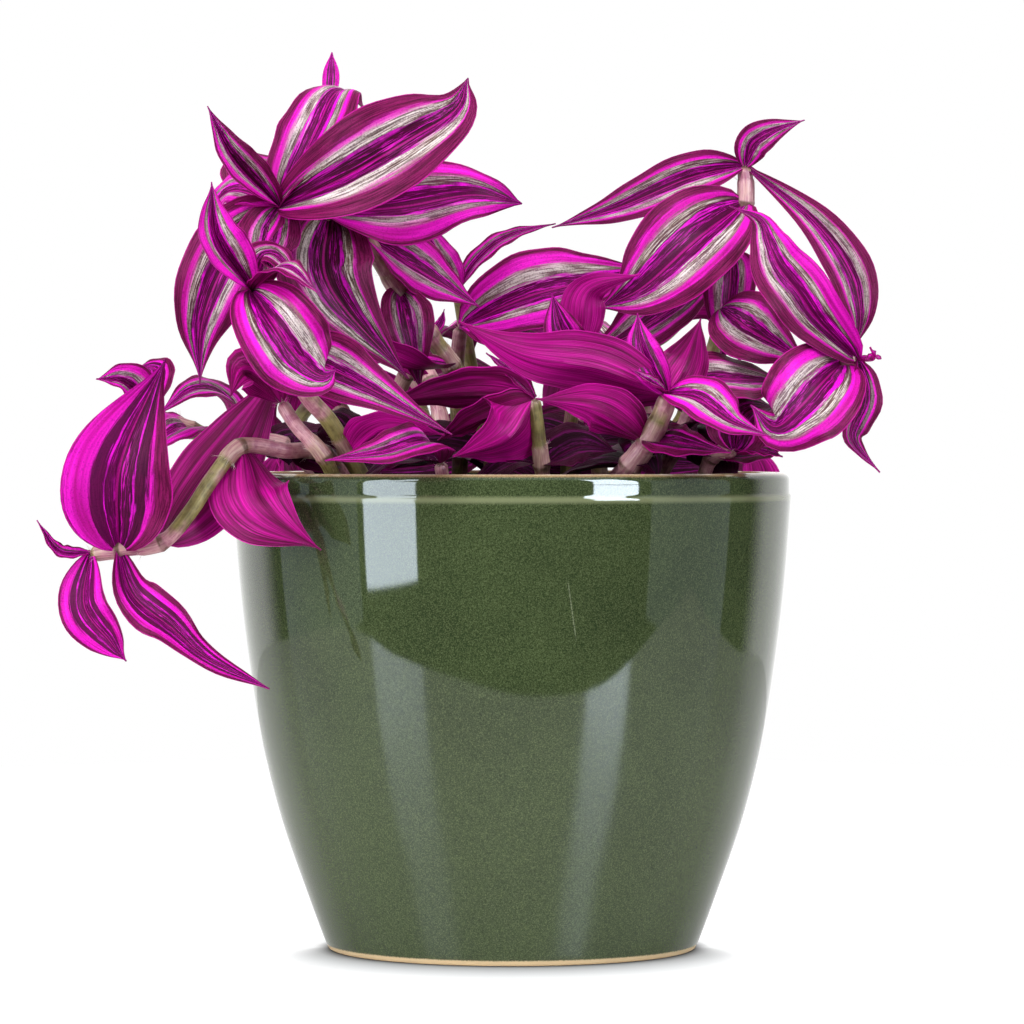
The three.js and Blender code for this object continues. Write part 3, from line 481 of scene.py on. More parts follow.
class Crowd:
    """What already stands: places, their shoot, how far along their leaf, and the room that they need."""

    def __init__(self):
        self.places = np.empty((0, 3))
        self.facts = np.empty((0, 3))

    def stand(self, points, owner, share, room):
        facts = np.column_stack([np.full(len(points), owner), share, np.full(len(points), room)])
        self.places = np.vstack([self.places, points])
        self.facts = np.vstack([self.facts, facts])

    def blocked(self, points, owner, share):
        reach = self.facts[:, 2].max()
        near = np.all((self.places > points.min(0) - reach) & (self.places < points.max(0) + reach), axis=1)
        places, facts = self.places[near], self.facts[near]
        gap = np.linalg.norm(points[:, None] - places[None], axis=2)
        young = (share[:, None] < CLEAR["meeting"]) | (facts[None, :, 1] < CLEAR["meeting"])
        related = (facts[None, :, 0] == owner) & young
        return np.any((gap < facts[None, :, 2]) & ~related, axis=1)


def in_pot_or_soil(points):
    radius, height = np.hypot(points[:, 0], points[:, 1]), points[:, 2]
    wall, gap = outer_radius(height), CLEAR["pot"]
    outside = radius > wall + gap
    inside = (radius > wall - POT["wall"] - gap) | (height < SOIL["top"] + SOIL["crown"] + gap)
    return (height <= POT["height"] + gap) & np.where(outside, height < gap, inside)


STEPS_ALONG = np.repeat(np.arange(1, CLEAR["along"] + 1) / CLEAR["along"], 2 * CLEAR["half"] + 1)
STEPS_ACROSS = np.tile(np.arange(-CLEAR["half"], CLEAR["half"] + 1) / CLEAR["half"], CLEAR["along"])


def settle(leaf, owner, crowd):
    """Gives the leaf the smallest bend that clears it, and returns how many places still touch."""
    best, fewest = 0, math.inf
    for bend in range(0, leaf["most"] + 1, CLEAR["step"]):
        for shift in ((-bend, bend) if bend else (0,)):
            if fewest == 0:
                break
            points = blade_points(leaf, STEPS_ALONG, STEPS_ACROSS, shift)[0]
            count = np.sum(in_pot_or_soil(points) | crowd.blocked(points, owner, STEPS_ALONG))
            if count < fewest:
                best, fewest = shift, count
    leaf["shift"] = best
    return fewest


def takes_room(leaf, owner, crowd):
    """Settles a leaf among what stands. One that a rule placed is left out where it finds no room."""
    left = settle(leaf, owner, crowd)
    if left > 0 and leaf["ruled"]:
        leaf["width"] *= BACK_LEAF["smaller"]
        left = settle(leaf, owner, crowd)
    if left > 0 and leaf["ruled"]:
        return False
    points = blade_points(leaf, STEPS_ALONG, STEPS_ACROSS, leaf["shift"])[0]
    crowd.stand(points, owner, STEPS_ALONG, CLEAR["leaf"])
    return True


def grow_shoots():
    """Every shoot with its stem's points and its leaves, each leaf bent clear of the rest."""
    draw = Draw(SEEDS["layout"])
    front = [front_shoot(shoot) for shoot in FRONT_SHOOTS]
    shoots = front + [back_shoot(draw, *arch) for arch in BACK_SHOOTS]
    crowd = Crowd()
    for owner, shoot in enumerate(shoots):
        points = stem_points(shoot)
        count = math.ceil(curve_length(points) / STEM["sample"])
        places = along(points, np.arange(count + 1) / count)
        crowd.stand(places, owner, np.zeros(len(places)), shoot["radius"] + CLEAR["stem"])
    for owner, shoot in enumerate(shoots):
        shoot["leaves"] = [leaf for leaf in shoot["leaves"] if takes_room(leaf, owner, crowd)]
    for side in (-1, 1):
        for owner, shoot in enumerate(front):
            for _ in range(LOW_LEAF["tries"]):
                leaf = low_leaf(shoot["path"][0], side, draw)
                if takes_room(leaf, owner, crowd):
                    shoot["leaves"].append(leaf)
                    break
    return shoots


def curve_length(points, divisions=200):
    return np.linalg.norm(np.diff(along(points, np.arange(divisions + 1) / divisions), axis=0), axis=1).sum()


# ---------------------------------------------------------------- meshes


class Mesh:
    """Gathers patches of faces, each with its material, its surface coordinates and its traits."""

    def __init__(self):
        self.points, self.coordinates, self.traits = [], [], []
        self.faces, self.materials = [], []
        self.count = 0

    def patch(self, points, faces, traits=(0, 0, 0), coordinates=None, material=0, lean=0.0):
        """Adds points with three traits, their (across, along) and their lean, and faces between them."""
        size = len(points)
        self.points.append(points)
        self.coordinates.append(np.zeros((size, 2)) if coordinates is None else coordinates)
        self.traits.append(np.column_stack([np.broadcast_to(traits, (size, 3)), np.full(size, lean)]))
        self.faces += [tuple(int(corner) + self.count for corner in face) for face in faces]
        self.materials += [material] * len(faces)
        self.count += size

    def finish(self, name, materials, sharp_above=60.0):
        """Makes the object, in metres, with smooth faces that stay sharp at steep edges."""
        mesh = bpy.data.meshes.new(name)
        mesh.from_pydata((np.vstack(self.points) * MM).tolist(), [], self.faces)
        for material in materials:
            mesh.materials.append(material)
        mesh.polygons.foreach_set("material_index", np.array(self.materials, np.int32))
        mesh.polygons.foreach_set("use_smooth", np.ones(len(self.faces), bool))
        corners = np.empty(len(mesh.loops), np.int32)
        mesh.loops.foreach_get("vertex_index", corners)
        layer = mesh.uv_layers.new(name="surface")
        layer.data.foreach_set("uv", np.vstack(self.coordinates)[corners].astype(np.float32).ravel())
        traits = mesh.color_attributes.new("traits", "FLOAT_COLOR", "POINT")
        traits.data.foreach_set("color", np.vstack(self.traits).astype(np.float32).ravel())
        mesh.set_sharp_from_angle(angle=math.radians(sharp_above))
        mesh.validate()
        piece = bpy.data.objects.new(name, mesh)
        bpy.context.scene.collection.objects.link(piece)
        return piece


def grid_faces(rows, columns, flip=False, wrap=False):
    """Quads between rows of points. A wrapped grid joins its last column to its first."""
    faces = []
    for i in range(rows - 1):
        low, high = i * columns, (i + 1) * columns
        for j in range(columns if wrap else columns - 1):
            right = (j + 1) % columns
            face = (low + j, low + right, high + right, high + j)
            faces.append(face[::-1] if flip else face)
    return faces


def tube_faces(rows, sides):
    """A wrapped grid with a flat face at each end."""
    last = (rows - 1) * sides
    return grid_faces(rows, sides, wrap=True) + [tuple(range(sides))[::-1], tuple(range(last, last + sides))]


def circle(sides):
    """The cosine and the sine of each bearing of a ring."""
    turn = 2 * np.pi * np.arange(sides) / sides
    return np.cos(turn), np.sin(turn)


def turned_points(profile, sides):
    """Rows of points around the upright axis, one row for each (radius, height)."""
    radius, height = np.asarray(profile, float).T[:, :, None]
    x, y = (radius * part for part in circle(sides))
    return np.stack([x, y, np.broadcast_to(height, x.shape)], axis=2).reshape(-1, 3)


def add_turned(mesh, points, sides, ends):
    """A closed skin of rows of points around the axis, shut by a fan of faces at each of its two ends."""
    rows = len(points) // sides
    along_share, across_share = np.meshgrid(np.arange(rows) / (rows - 1), np.arange(sides) / sides,
                                            indexing="ij")
    around = np.column_stack([across_share.ravel(), along_share.ravel()])
    mesh.patch(points, grid_faces(rows, sides, wrap=True), coordinates=around)
    mesh.patch(np.array([(0, 0, height) for height in ends], float), [])
    first, second, last = rows * sides, rows * sides + 1, (rows - 1) * sides
    for j in range(sides):
        after = (j + 1) % sides
        mesh.faces += [(first, after, j), (second, last + j, last + after)]
    mesh.materials += [0] * (2 * sides)


# ---------------------------------------------------------------- leaf blades

UPPER, UNDER, STEM_SKIN = 0, 1, 2


def add_leaf(mesh, leaf, seed, form):
    """A thin closed blade. Each half is slightly puffed, its margin is thin and ripples a little."""
    rows, columns = form.rows_along + 1, form.columns_across + 1
    u = np.repeat(np.arange(rows) / (rows - 1), columns)
    spread = np.arange(columns) / (columns - 1) * 2 - 1
    v = np.tile(np.sign(spread) * np.abs(spread) ** 0.9, rows)
    middle, normal = blade_points(leaf, u, v, leaf["shift"], form.tip_half)
    swell = np.sin(np.pi * u)
    lift = form.puff * half_width(leaf, u, form.tip_half) * np.sin(np.pi * np.abs(v)) * swell
    lift += form.ripple * np.abs(v) ** 3 * np.sin(2 * np.pi * (form.ripples * u + seed)) * swell
    thickness = form.middle_thickness + (form.margin_thickness - form.middle_thickness) * np.abs(v)
    coordinates = np.column_stack([(v + 1) / 2, u])
    traits = (seed, leaf["vivid"], leaf["silver"])
    for side, material in ((1, UPPER), (-1, UNDER)):
        skin = middle + normal * (lift + side * thickness / 2)[:, None]
        faces = grid_faces(rows, columns, flip=side < 0)
        mesh.patch(skin, faces, traits, coordinates, material, leaf["lean"])
    low = mesh.count - rows * columns
    top = low - rows * columns
    rim = []
    for i in range(rows - 1):
        near, far = i * columns, (i + 1) * columns
        rim.append((top + near, top + far, low + far, low + near))
        near, far = near + columns - 1, far + columns - 1
        rim.append((top + far, top + near, low + near, low + far))
    last = (rows - 1) * columns
    for j in range(columns - 1):
        rim.append((top + j + 1, top + j, low + j, low + j + 1))
        rim.append((top + last + j, top + last + j + 1, low + last + j + 1, low + last + j))
    mesh.faces += rim
    mesh.materials += [UPPER] * len(rim)


# ---------------------------------------------------------------- stems


def frames_along(centres):
    """Directions across a path that turn as little as they can from ring to ring."""
    forward = unit(np.gradient(centres, axis=0))
    side = np.empty_like(forward)
    aslant = (0.3, 1.0, 0.2)
    side[0] = unit(np.cross(forward[0], aslant))
    for i in range(1, len(forward)):
        side[i] = unit(side[i - 1] - forward[i] * side[i - 1].dot(forward[i]))
    return forward, side, np.cross(forward, side)


def node_places(shoot):
    """Shares of the stem's curve where leaves grow, with the first point above the soil."""
    count = len(stem_points(shoot))
    foot = count - len(shoot["path"])
    bases = np.array([leaf["curve"][0] for leaf in shoot["leaves"]])
    same_place = 0.01
    return [(foot + i) / (count - 1) for i, point in enumerate(shoot["path"])
            if i == 0 or np.any(np.linalg.norm(bases - point, axis=1) < same_place)]


def stem_rings(shoot, form):
    """Ring by ring up the stem: centres, radii, closeness to a node, share of sheath and distance."""
    points = stem_points(shoot)
    count = math.ceil(curve_length(points) / form.ring_spacing)
    t = np.arange(count + 1) / count
    centres = along(points, t)
    travelled = np.concatenate([[0], np.cumsum(np.linalg.norm(np.diff(centres, axis=0), axis=1))])
    nodes = np.interp(node_places(shoot), t, travelled)
    past = travelled[:, None] - nodes[None]
    near_node = np.exp(-(past / form.node_length) ** 2).max(1)
    in_sheath = (np.clip((past + 0.6) / 0.6, 0, 1) * np.clip((form.sheath_length - past) / 0.4, 0, 1)).max(1)
    radius = shoot["radius"] * (1 - form.taper * travelled / travelled[-1])
    radius = radius * (1 + form.node_swell * near_node) + form.sheath_thickness * in_sheath
    to_end = np.clip((travelled[-1] - travelled) / shoot["radius"], 0, 1)
    radius = radius * np.sqrt(1 - (1 - to_end) ** 2 * 0.92)
    return centres, radius, near_node, in_sheath, travelled


def add_stem(mesh, shoot, seed, form):
    centres, radius, near_node, in_sheath, travelled = stem_rings(shoot, form)
    _, side, other = frames_along(centres)
    sides, rings = form.sides, len(centres)
    across, ahead = circle(sides)
    ring = side[:, None] * across[None, :, None] + other[:, None] * ahead[None, :, None]
    points = (centres[:, None] + ring * radius[:, None, None]).reshape(-1, 3)
    coordinates = np.column_stack([np.tile(np.arange(sides) / sides, rings),
                                   np.repeat(travelled / form.pattern_length, sides)])
    traits = np.column_stack([np.repeat(near_node, sides), np.repeat(in_sheath, sides),
                              np.full(len(points), seed)])
    mesh.patch(points, tube_faces(rings, sides), traits, coordinates, STEM_SKIN)


def add_hairs(mesh, shoot, form, draw):
    """Fine pale hairs on the sheaths' upper edges: thin three-sided spikes."""
    centres, radius, _, _, travelled = stem_rings(shoot, form)
    forward, side, other = frames_along(centres)
    count = len(centres) - 1
    for place in node_places(shoot):
        edge = np.interp(place, np.arange(count + 1) / count, travelled) + form.sheath_length
        i = int(np.argmin(np.abs(travelled - edge)))
        for _ in range(form.hairs_a_node):
            angle = 2 * math.pi * draw()
            length = form.hair_length * (0.5 + 0.7 * draw())
            out = side[i] * math.cos(angle) + other[i] * math.sin(angle)
            root = centres[i] + out * radius[i] * 0.9 - forward[i] * (1.5 * draw())
            lean = unit(out * (0.5 + draw()) + forward[i] * (0.4 + 0.8 * draw()))
            beside = unit(np.cross(lean, forward[i] + 0.1))
            third = np.cross(lean, beside)
            corners = [root + form.hair_radius * (beside * x + third * y) for x, y in zip(*circle(3))]
            spike = np.vstack([corners, root + lean * length])
            mesh.patch(spike, [(0, 2, 1), (0, 1, 3), (1, 2, 3), (2, 0, 3)], (draw(), 0, 0))


# ---------------------------------------------------------------- shader nodes


def tint(red, green, blue):
    """A screen colour of 0 to 255 as the linear colour that a socket takes."""
    linear = [(value / 255 / 12.92) if value < 11 else ((value / 255 + 0.055) / 1.055) ** 2.4
              for value in (red, green, blue)]
    return (*linear, 1.0)


class Field:
    """A number or colour that changes over a surface. Arithmetic on it adds Math nodes to its tree."""

    def __init__(self, nodes, socket):
        self.nodes, self.socket = nodes, socket

    def __add__(self, other):
        return self.nodes.math("ADD", self, other)

    def __sub__(self, other):
        return self.nodes.math("SUBTRACT", self, other)

    def __rsub__(self, other):
        return self.nodes.math("SUBTRACT", other, self)

    def __mul__(self, other):
        return self.nodes.math("MULTIPLY", self, other)

    def __abs__(self):
        return self.nodes.math("ABSOLUTE", self)


class Nodes:
    """Short calls that add nodes to a tree and join them. Most return a field to carry on from."""

    def __init__(self, tree):
        self.tree = tree

    def add(self, kind, *given, **settings):
        node = self.tree.nodes.new(kind)
        for name, value in settings.items():
            setattr(node, name, value)
        for socket, value in zip(node.inputs, given):
            self.put(socket, value)
        return node

    def put(self, socket, value):
        if isinstance(value, Field):
            self.tree.links.new(value.socket, socket)
        else:
            socket.default_value = value

    def field(self, kind, *given, **settings):
        return Field(self, self.add(kind, *given, **settings).outputs[0])

    def math(self, operation, *given, clamp=False):
        return self.field("ShaderNodeMath", *given, operation=operation, use_clamp=clamp)

    def smooth(self, value, low, high, start=0.0, end=1.0):
        """Start below low and end above high, with an even passage between."""
        return self.field("ShaderNodeMapRange", value, low, high, start, end, interpolation_type="SMOOTHSTEP")

    def band(self, value, low, high, edge):
        """1 between low and high, and 0 outside, with soft passages of twice the edge."""
        begin = self.smooth(value, low - edge, low + edge)
        return begin * self.smooth(value, high - edge, high + edge, 1.0, 0.0)

    def mix(self, share, first, second):
        node = self.add("ShaderNodeMix", share, data_type="RGBA")
        self.put(node.inputs[6], first)
        self.put(node.inputs[7], second)
        return Field(self, node.outputs[2])

    def named(self, kind, **given):
        """The first output of a node whose inputs are given by name."""
        node = self.add(kind)
        for name, value in given.items():
            self.put(node.inputs[name], value)
        return Field(self, node.outputs[0])

    def noise(self, vector, scale, detail, roughness=0.55):
        return self.named("ShaderNodeTexNoise", Vector=vector, Scale=scale, Detail=detail,
                          Roughness=roughness)

    def bump(self, height, strength, distance):
        return self.named("ShaderNodeBump", Height=height, Strength=strength, Distance=distance)

    def split(self, vector):
        return [Field(self, socket) for socket in self.add("ShaderNodeSeparateXYZ", vector).outputs]

    def surface(self):
        """Across and along, each 0 to 1."""
        return self.split(self.field("ShaderNodeUVMap", uv_map="surface"))[:2]

    def traits(self):
        """The three traits that each patch of the mesh carries, and its lean."""
        node = self.add("ShaderNodeAttribute", attribute_type="GEOMETRY", attribute_name="traits")
        return (*self.split(Field(self, node.outputs["Vector"])), Field(self, node.outputs["Alpha"]))

    def place(self):
        return Field(self, self.add("ShaderNodeTexCoord").outputs["Object"])

    def ray(self, kind):
        """1 for the kind of ray that is named, and 0 for the others."""
        return Field(self, self.add("ShaderNodeLightPath").outputs[f"Is {kind} Ray"])

    def group(self, name, **values):
        """Places a node group with its own values."""
        node = self.add("ShaderNodeGroup", node_tree=bpy.data.node_groups[name])
        for key, value in values.items():
            self.put(node.inputs[key], value)
        return Field(self, node.outputs[0])

    def streaks(self, across, lengthwise, seed, fineness, length=1.5):
        return self.group("Long streaks", Across=across, Along=lengthwise, Seed=seed, Fineness=fineness,
                          Length=length)

    def grain(self, scale, strength=1.0):
        return self.group("Fine grain", Place=self.place(), Scale=scale, Strength=strength)

    def patches(self, scale, contrast):
        return self.group("Mottling", Place=self.place(), Scale=scale, Contrast=contrast)


def new_group(name, output, **inputs):
    """An empty node group: its Nodes, its inputs as fields, and the socket that it puts out."""
    tree = bpy.data.node_groups.new(name, "ShaderNodeTree")
    for label, default in inputs.items():
        kind = "NodeSocketVector" if default is None else "NodeSocketFloat"
        socket = tree.interface.new_socket(name=label, in_out="INPUT", socket_type=kind)
        if default is not None:
            socket.default_value = default
    tree.interface.new_socket(name=output, in_out="OUTPUT", socket_type="NodeSocketFloat")
    nodes = Nodes(tree)
    given = [Field(nodes, socket) for socket in nodes.add("NodeGroupInput").outputs]
    return nodes, given[:len(inputs)], nodes.add("NodeGroupOutput").inputs[0]


def make_groups():
    """Long fine streaks, as of parallel veins, fine grain around 0, and soft cloudy patches."""
    nodes, (across, lengthwise, seed, fineness, length), out = new_group(
        "Long streaks", "Streak", Across=0.0, Along=0.0, Seed=0.0, Fineness=20.0, Length=1.5)
    place = nodes.field("ShaderNodeCombineXYZ", across * fineness, lengthwise * length, seed * 37.0)
    nodes.put(out, nodes.smooth(nodes.noise(place, 1.0, 2.0), 0.25, 0.75))

    nodes, given, out = new_group("Fine grain", "Grain", Place=None, Scale=2000.0, Strength=1.0)
    place, scale, strength = given
    nodes.put(out, (nodes.noise(place, scale, 2.0, 0.6) - 0.5) * strength)

    nodes, given, out = new_group("Mottling", "Patches", Place=None, Scale=60.0, Contrast=0.5)
    place, scale, contrast = given
    low = contrast * 0.5
    nodes.put(out, nodes.smooth(nodes.noise(place, scale, 4.0, 0.6), low, 1.0 - low))


def new_material(name):
    material = bpy.data.materials.new(name)
    material.use_nodes = True
    return material, Nodes(material.node_tree), material.node_tree.nodes["Principled BSDF"].inputs


def painted_low_leaf_shade(nodes, silver, colour):
    """Painted shade: the same colour, but darker where silver is below 0, on the low leaves near the soil."""
    return nodes.mix(nodes.smooth(silver, -1.0, 0.0, 0.9, 0.0), colour, tint(24, 0, 13))


def make_leaf_upper(form):
    """Silver bands and magenta lines between the midrib and the margin of each half."""
    material, nodes, skin = new_material("leaf_upper_face")
    mix, smooth = nodes.mix, nodes.smooth
    across, lengthwise = nodes.surface()
    seed, vivid, silver, lean = nodes.traits()
    half = abs(across * 2.0 - 1.0)
    right = nodes.math("GREATER_THAN", across, 0.5)
    vivid = nodes.math("ADD", vivid, (right - 0.5) * lean, clamp=True)
    lot = nodes.math("FRACT", seed * 7.31 + right * 0.43)
    broad = nodes.streaks(across, lengthwise, seed, 20.0, 2.0)
    fine = nodes.streaks(across, lengthwise, seed, 70.0, 9.0)
    grain = nodes.grain(2400.0)
    patches = nodes.patches(120.0, 0.6)
    # from the midrib, 0, to the margin, 1, with ragged borders
    s = half + ((fine - 0.5) * 0.07 + (broad - 0.5) * 0.09) + (lot - 0.5) * 0.1
    inner = mix(vivid * 0.25, mix(fine, tint(30, 0, 16), tint(78, 12, 50)), tint(150, 0, 118))
    plum = mix(fine, tint(66, 2, 36), form.plum)
    magenta = mix(broad, tint(168, 4, 124), form.magenta)
    magenta_to = vivid * vivid * 0.4 + 0.57 + lot * 0.06
    colour = mix(smooth(s, 0.5, 0.56), inner, mix(smooth(s - magenta_to, -0.03, 0.04), magenta, plum))
    lines = nodes.math("MAXIMUM", nodes.band(s, 0.09, 0.11, 0.016), nodes.band(s, 0.17, 0.18, 0.012))
    colour = mix(lines * smooth(broad, 0.15, 0.6, 0.2, 1.0), colour, tint(226, 8, 194))
    flank = nodes.band(s, 0.25, 0.31, 0.018) * smooth(patches, 0.0, 0.6, 0.3, 1.0)
    colour = mix(flank * smooth(vivid, 0.0, 1.0, 0.55, 1.0), colour, tint(244, 16, 220))
    # silver bands around the middle of each half, which narrow towards the leaf's base and tip
    narrower = smooth(lengthwise, 0.03, 0.3, 0.1, 0.0) + smooth(lengthwise, 0.6, 0.98, 0.0, 0.11)
    depth = lot * 0.09 + 0.1 - (abs(s - 0.45) + narrower)
    speckle = smooth(fine * 0.45 + patches * 0.2 + grain * 0.5, 0.1, 0.5, 0.3, 1.0)
    flame = (broad + fine - 1.1) * 0.8
    centre = nodes.math("ADD", depth * 6.0, flame, clamp=True)
    frost = mix(centre, tint(124, 104, 90), form.silver)
    frost = mix(smooth(fine, 0.6, 1.0, 0.0, 0.5), frost, tint(236, 222, 226))
    colour = mix(smooth(depth, -0.03, 0.04) * (speckle * silver), colour, frost)
    colour = mix(smooth(half, 0.012, 0.035, 0.7, 0.0), colour, tint(182, 14, 138))
    colour = mix(smooth(half, 0.965, 0.99, 0.0, 0.8), colour, tint(190, 10, 146))
    # painted shade on the low leaves near the soil, where silver is below 0
    colour = painted_low_leaf_shade(nodes, silver, colour)
    colour = mix(smooth(grain, -0.22, 0.02, 0.32, 0.0), colour, tint(30, 0, 18))
    nodes.put(skin["Base Color"], colour)
    nodes.put(skin["Roughness"], smooth(fine, 0.0, 1.0, 0.5, 0.36))
    skin["Specular IOR Level"].default_value = 0.06
    nodes.put(skin["Normal"], nodes.bump(fine * 0.6 + grain * 0.5, 0.6, 0.00015))
    return material


def make_leaf_under(form):
    """Plain magenta to plum with fine lengthwise veins."""
    material, nodes, skin = new_material("leaf_under_face")
    mix, smooth = nodes.mix, nodes.smooth
    across, lengthwise = nodes.surface()
    seed, vivid, silver, _ = nodes.traits()
    broad = nodes.streaks(across, lengthwise, seed, 9.0)
    fine = nodes.streaks(across, lengthwise, seed, 60.0, 2.0)
    half = abs(across * 2.0 - 1.0)
    plum = mix(fine, tint(68, 2, 42), tint(126, 10, 82))
    bright = mix(fine, tint(150, 2, 102), form.magenta_under)
    lively = nodes.math("ADD", vivid * 0.7, broad * 0.5, clamp=True)
    colour = mix(smooth(lively, 0.3, 0.9), plum, bright)
    colour = mix(smooth(half, 0.02, 0.06, 0.6, 0.0), colour, tint(104, 10, 70))
    colour = mix(smooth(half, 0.965, 0.99), colour, tint(200, 16, 154))
    # painted shade on the low leaves near the soil, where silver is below 0
    nodes.put(skin["Base Color"], painted_low_leaf_shade(nodes, silver, colour))
    nodes.put(skin["Roughness"], smooth(fine, 0.0, 1.0, 0.52, 0.38))
    skin["Specular IOR Level"].default_value = 0.08
    nodes.put(skin["Normal"], nodes.bump(fine, 0.6, 0.00018))
    return material


def make_stem_skin():
    """Pink to olive between the nodes, browner at each ring, with paler streaked sheaths."""
    material, nodes, skin = new_material("stem_skin")
    mix, smooth = nodes.mix, nodes.smooth
    across, lengthwise = nodes.surface()
    near_node, in_sheath, seed, _ = nodes.traits()
    streak = nodes.streaks(across, lengthwise, seed, 30.0, 6.0)
    patches = nodes.patches(340.0, 0.7)
    flecks = streak * 0.45 + patches * 0.55
    pink = mix(flecks, tint(142, 54, 96), tint(212, 160, 164))
    olive = mix(flecks, tint(96, 84, 42), tint(160, 148, 88))
    colour = mix(smooth(seed * 0.4 + nodes.patches(45.0, 0.7), 0.4, 0.9), pink, olive)
    colour = mix(in_sheath * 0.65, colour, mix(streak, tint(170, 96, 124), tint(214, 178, 168)))
    ring = smooth(near_node, 0.55, 0.9) * smooth(patches, 0.2, 0.7, 0.4, 0.9)
    nodes.put(skin["Base Color"], mix(ring, colour, tint(84, 54, 28)))
    nodes.put(skin["Roughness"], smooth(streak, 0.0, 1.0, 0.55, 0.42))
    nodes.put(skin["Normal"], nodes.bump(streak + patches, 0.4, 0.00018))
    return material


def make_hair():
    material, nodes, skin = new_material("sheath_hair")
    nodes.put(skin["Base Color"], nodes.mix(nodes.traits()[0], tint(196, 170, 166), tint(236, 224, 214)))
    skin["Roughness"].default_value = 0.6
    return material


# The scratch in the glaze: its top, its low end, its left edge and its slant, in metres
SCRATCH = {"top": 0.0937, "low": 0.081, "left": 0.0133, "slant": 0.14}


def make_glaze(form):
    """Dark olive glaze with fine specks and a painted highlight along the ridge, which breaks tan on the
    rim's edge.
    """
    material, nodes, skin = new_material("olive_glaze")
    mix, smooth = nodes.mix, nodes.smooth
    across, ahead, height = nodes.split(nodes.place())
    specks, dust = nodes.grain(2600.0), nodes.grain(5200.0)
    body = mix(nodes.patches(38.0, 0.6), tint(48, 60, 36), form.glaze)
    body = mix(smooth(height, 0.01, 0.075, 0.5, 0.0), body, tint(56, 70, 36))
    body = mix(smooth(specks + dust, -0.02, 0.3, 0.0, 0.5), body, tint(110, 120, 82))
    body = mix(smooth(specks + dust, -0.3, 0.0, 0.85, 0.0), body, tint(30, 40, 24))
    # one fine scratch in the front, which slants a little
    slanted = across - (SCRATCH["top"] - height) * SCRATCH["slant"]
    left, low = SCRATCH["left"], SCRATCH["low"]
    scratch = nodes.band(slanted, left, left + 0.0002, 0.00012) * nodes.band(height, low, low + 0.0125, 0.002)
    scratch = scratch * nodes.math("LESS_THAN", ahead, 0.0) * smooth(specks, -0.2, 0.2, 0.2, 0.8)
    body = mix(scratch, body, tint(150, 156, 130))
    ridge, rim = POT["ridge_height"] * MM, POT["height"] * MM
    # a painted highlight: a paler line along the ridge
    body = mix(nodes.band(height, ridge - 0.0008, ridge + 0.0006, 0.0006) * 0.8, body, tint(124, 131, 98))
    worn = height + specks * 0.0006
    body = mix(smooth(worn, rim - 0.0009, rim - 0.0003), body, tint(150, 128, 92))
    body = mix(smooth(worn, rim - 0.0003, rim), body, tint(208, 190, 158))
    bare = smooth(worn, 0.0011, 0.0016, 1.0, 0.0)
    nodes.put(skin["Base Color"], mix(bare, body, form.clay))
    nodes.put(skin["Roughness"], bare * 0.6 + 0.035)
    nodes.put(skin["Normal"], nodes.bump(specks * 0.3 + dust * 0.15, 0.05, 0.00008))
    return material


def make_soil(form):
    """Dark crumbly potting mix."""
    material, nodes, skin = new_material("potting_soil")
    patches, grain = nodes.patches(110.0, 0.6), nodes.grain(900.0)
    colour = nodes.mix(patches, tint(30, 21, 16), form.bark)
    fibres = nodes.smooth(grain, 0.05, 0.3, 0.0, 0.5)
    nodes.put(skin["Base Color"], nodes.mix(fibres, colour, tint(112, 88, 66)))
    nodes.put(skin["Roughness"], nodes.smooth(patches, 0.0, 1.0, 0.95, 0.85))
    nodes.put(skin["Normal"], nodes.bump(patches + grain, 0.8, 0.0012))
    return material


def make_crumb():
    """Bark crumbs with a few pale grains among them."""
    material, nodes, skin = new_material("soil_crumb")
    tone, grain = nodes.traits()[0], nodes.grain(1600.0)
    bark = nodes.mix(tone + grain, tint(36, 24, 17), tint(104, 74, 50))
    nodes.put(skin["Base Color"], nodes.mix(nodes.smooth(tone, 0.92, 0.95), bark, tint(172, 164, 148)))
    nodes.put(skin["Roughness"], nodes.smooth(grain, -0.3, 0.3, 0.95, 0.8))
    nodes.put(skin["Normal"], nodes.bump(grain, 0.6, 0.0005))
    return material


def grey(value):
    return (value, value, value, 1.0)


def make_table_white(glow):
    """White, with a painted shadow at the pot's foot that spreads towards the front: only the camera sees the
    table dark there and a painted glow that whitens it away from the foot. Gloss sees it plainer.
    """
    material, nodes, skin = new_material("white_table")
    seen_by_eye, seen_in_gloss = nodes.ray("Camera"), nodes.ray("Glossy")
    x, y, _ = nodes.split(nodes.place())
    reach = nodes.math("SQRT", x * x + y * y)
    past_foot = reach - (BELLY[0][0] - 0.2) * MM
    white = nodes.mix(nodes.grain(300.0, 0.04) + 0.5, grey(0.86), grey(0.9))
    white = nodes.mix(seen_in_gloss, white, grey(0.66))
    # painted shadow: seen by the camera, the table is near black at the foot and dark grey a little way off
    painted_contact_shadow = nodes.mix(nodes.smooth(past_foot, 0.0, 0.005), grey(0.05), grey(0.2))
    nodes.put(skin["Base Color"], nodes.mix(seen_by_eye, white, painted_contact_shadow))
    nodes.put(skin["Roughness"], nodes.smooth(seen_in_gloss, 0.0, 1.0, 0.9, 0.22))
    skin["Emission Color"].default_value = grey(1.0)
    # painted glow, seen by the camera only: it rises from the foot, slowly ahead of it and quickly to the
    # sides and behind
    ahead = nodes.math("DIVIDE", y * -1.0, reach, clamp=True)
    lit = nodes.math("DIVIDE", past_foot, ahead * 0.03 + 0.004, clamp=True)
    nodes.put(skin["Emission Strength"], seen_by_eye * (nodes.math("POWER", lit, 0.75) * glow))
    return material


# ---------------------------------------------------------------- settings that a user would change


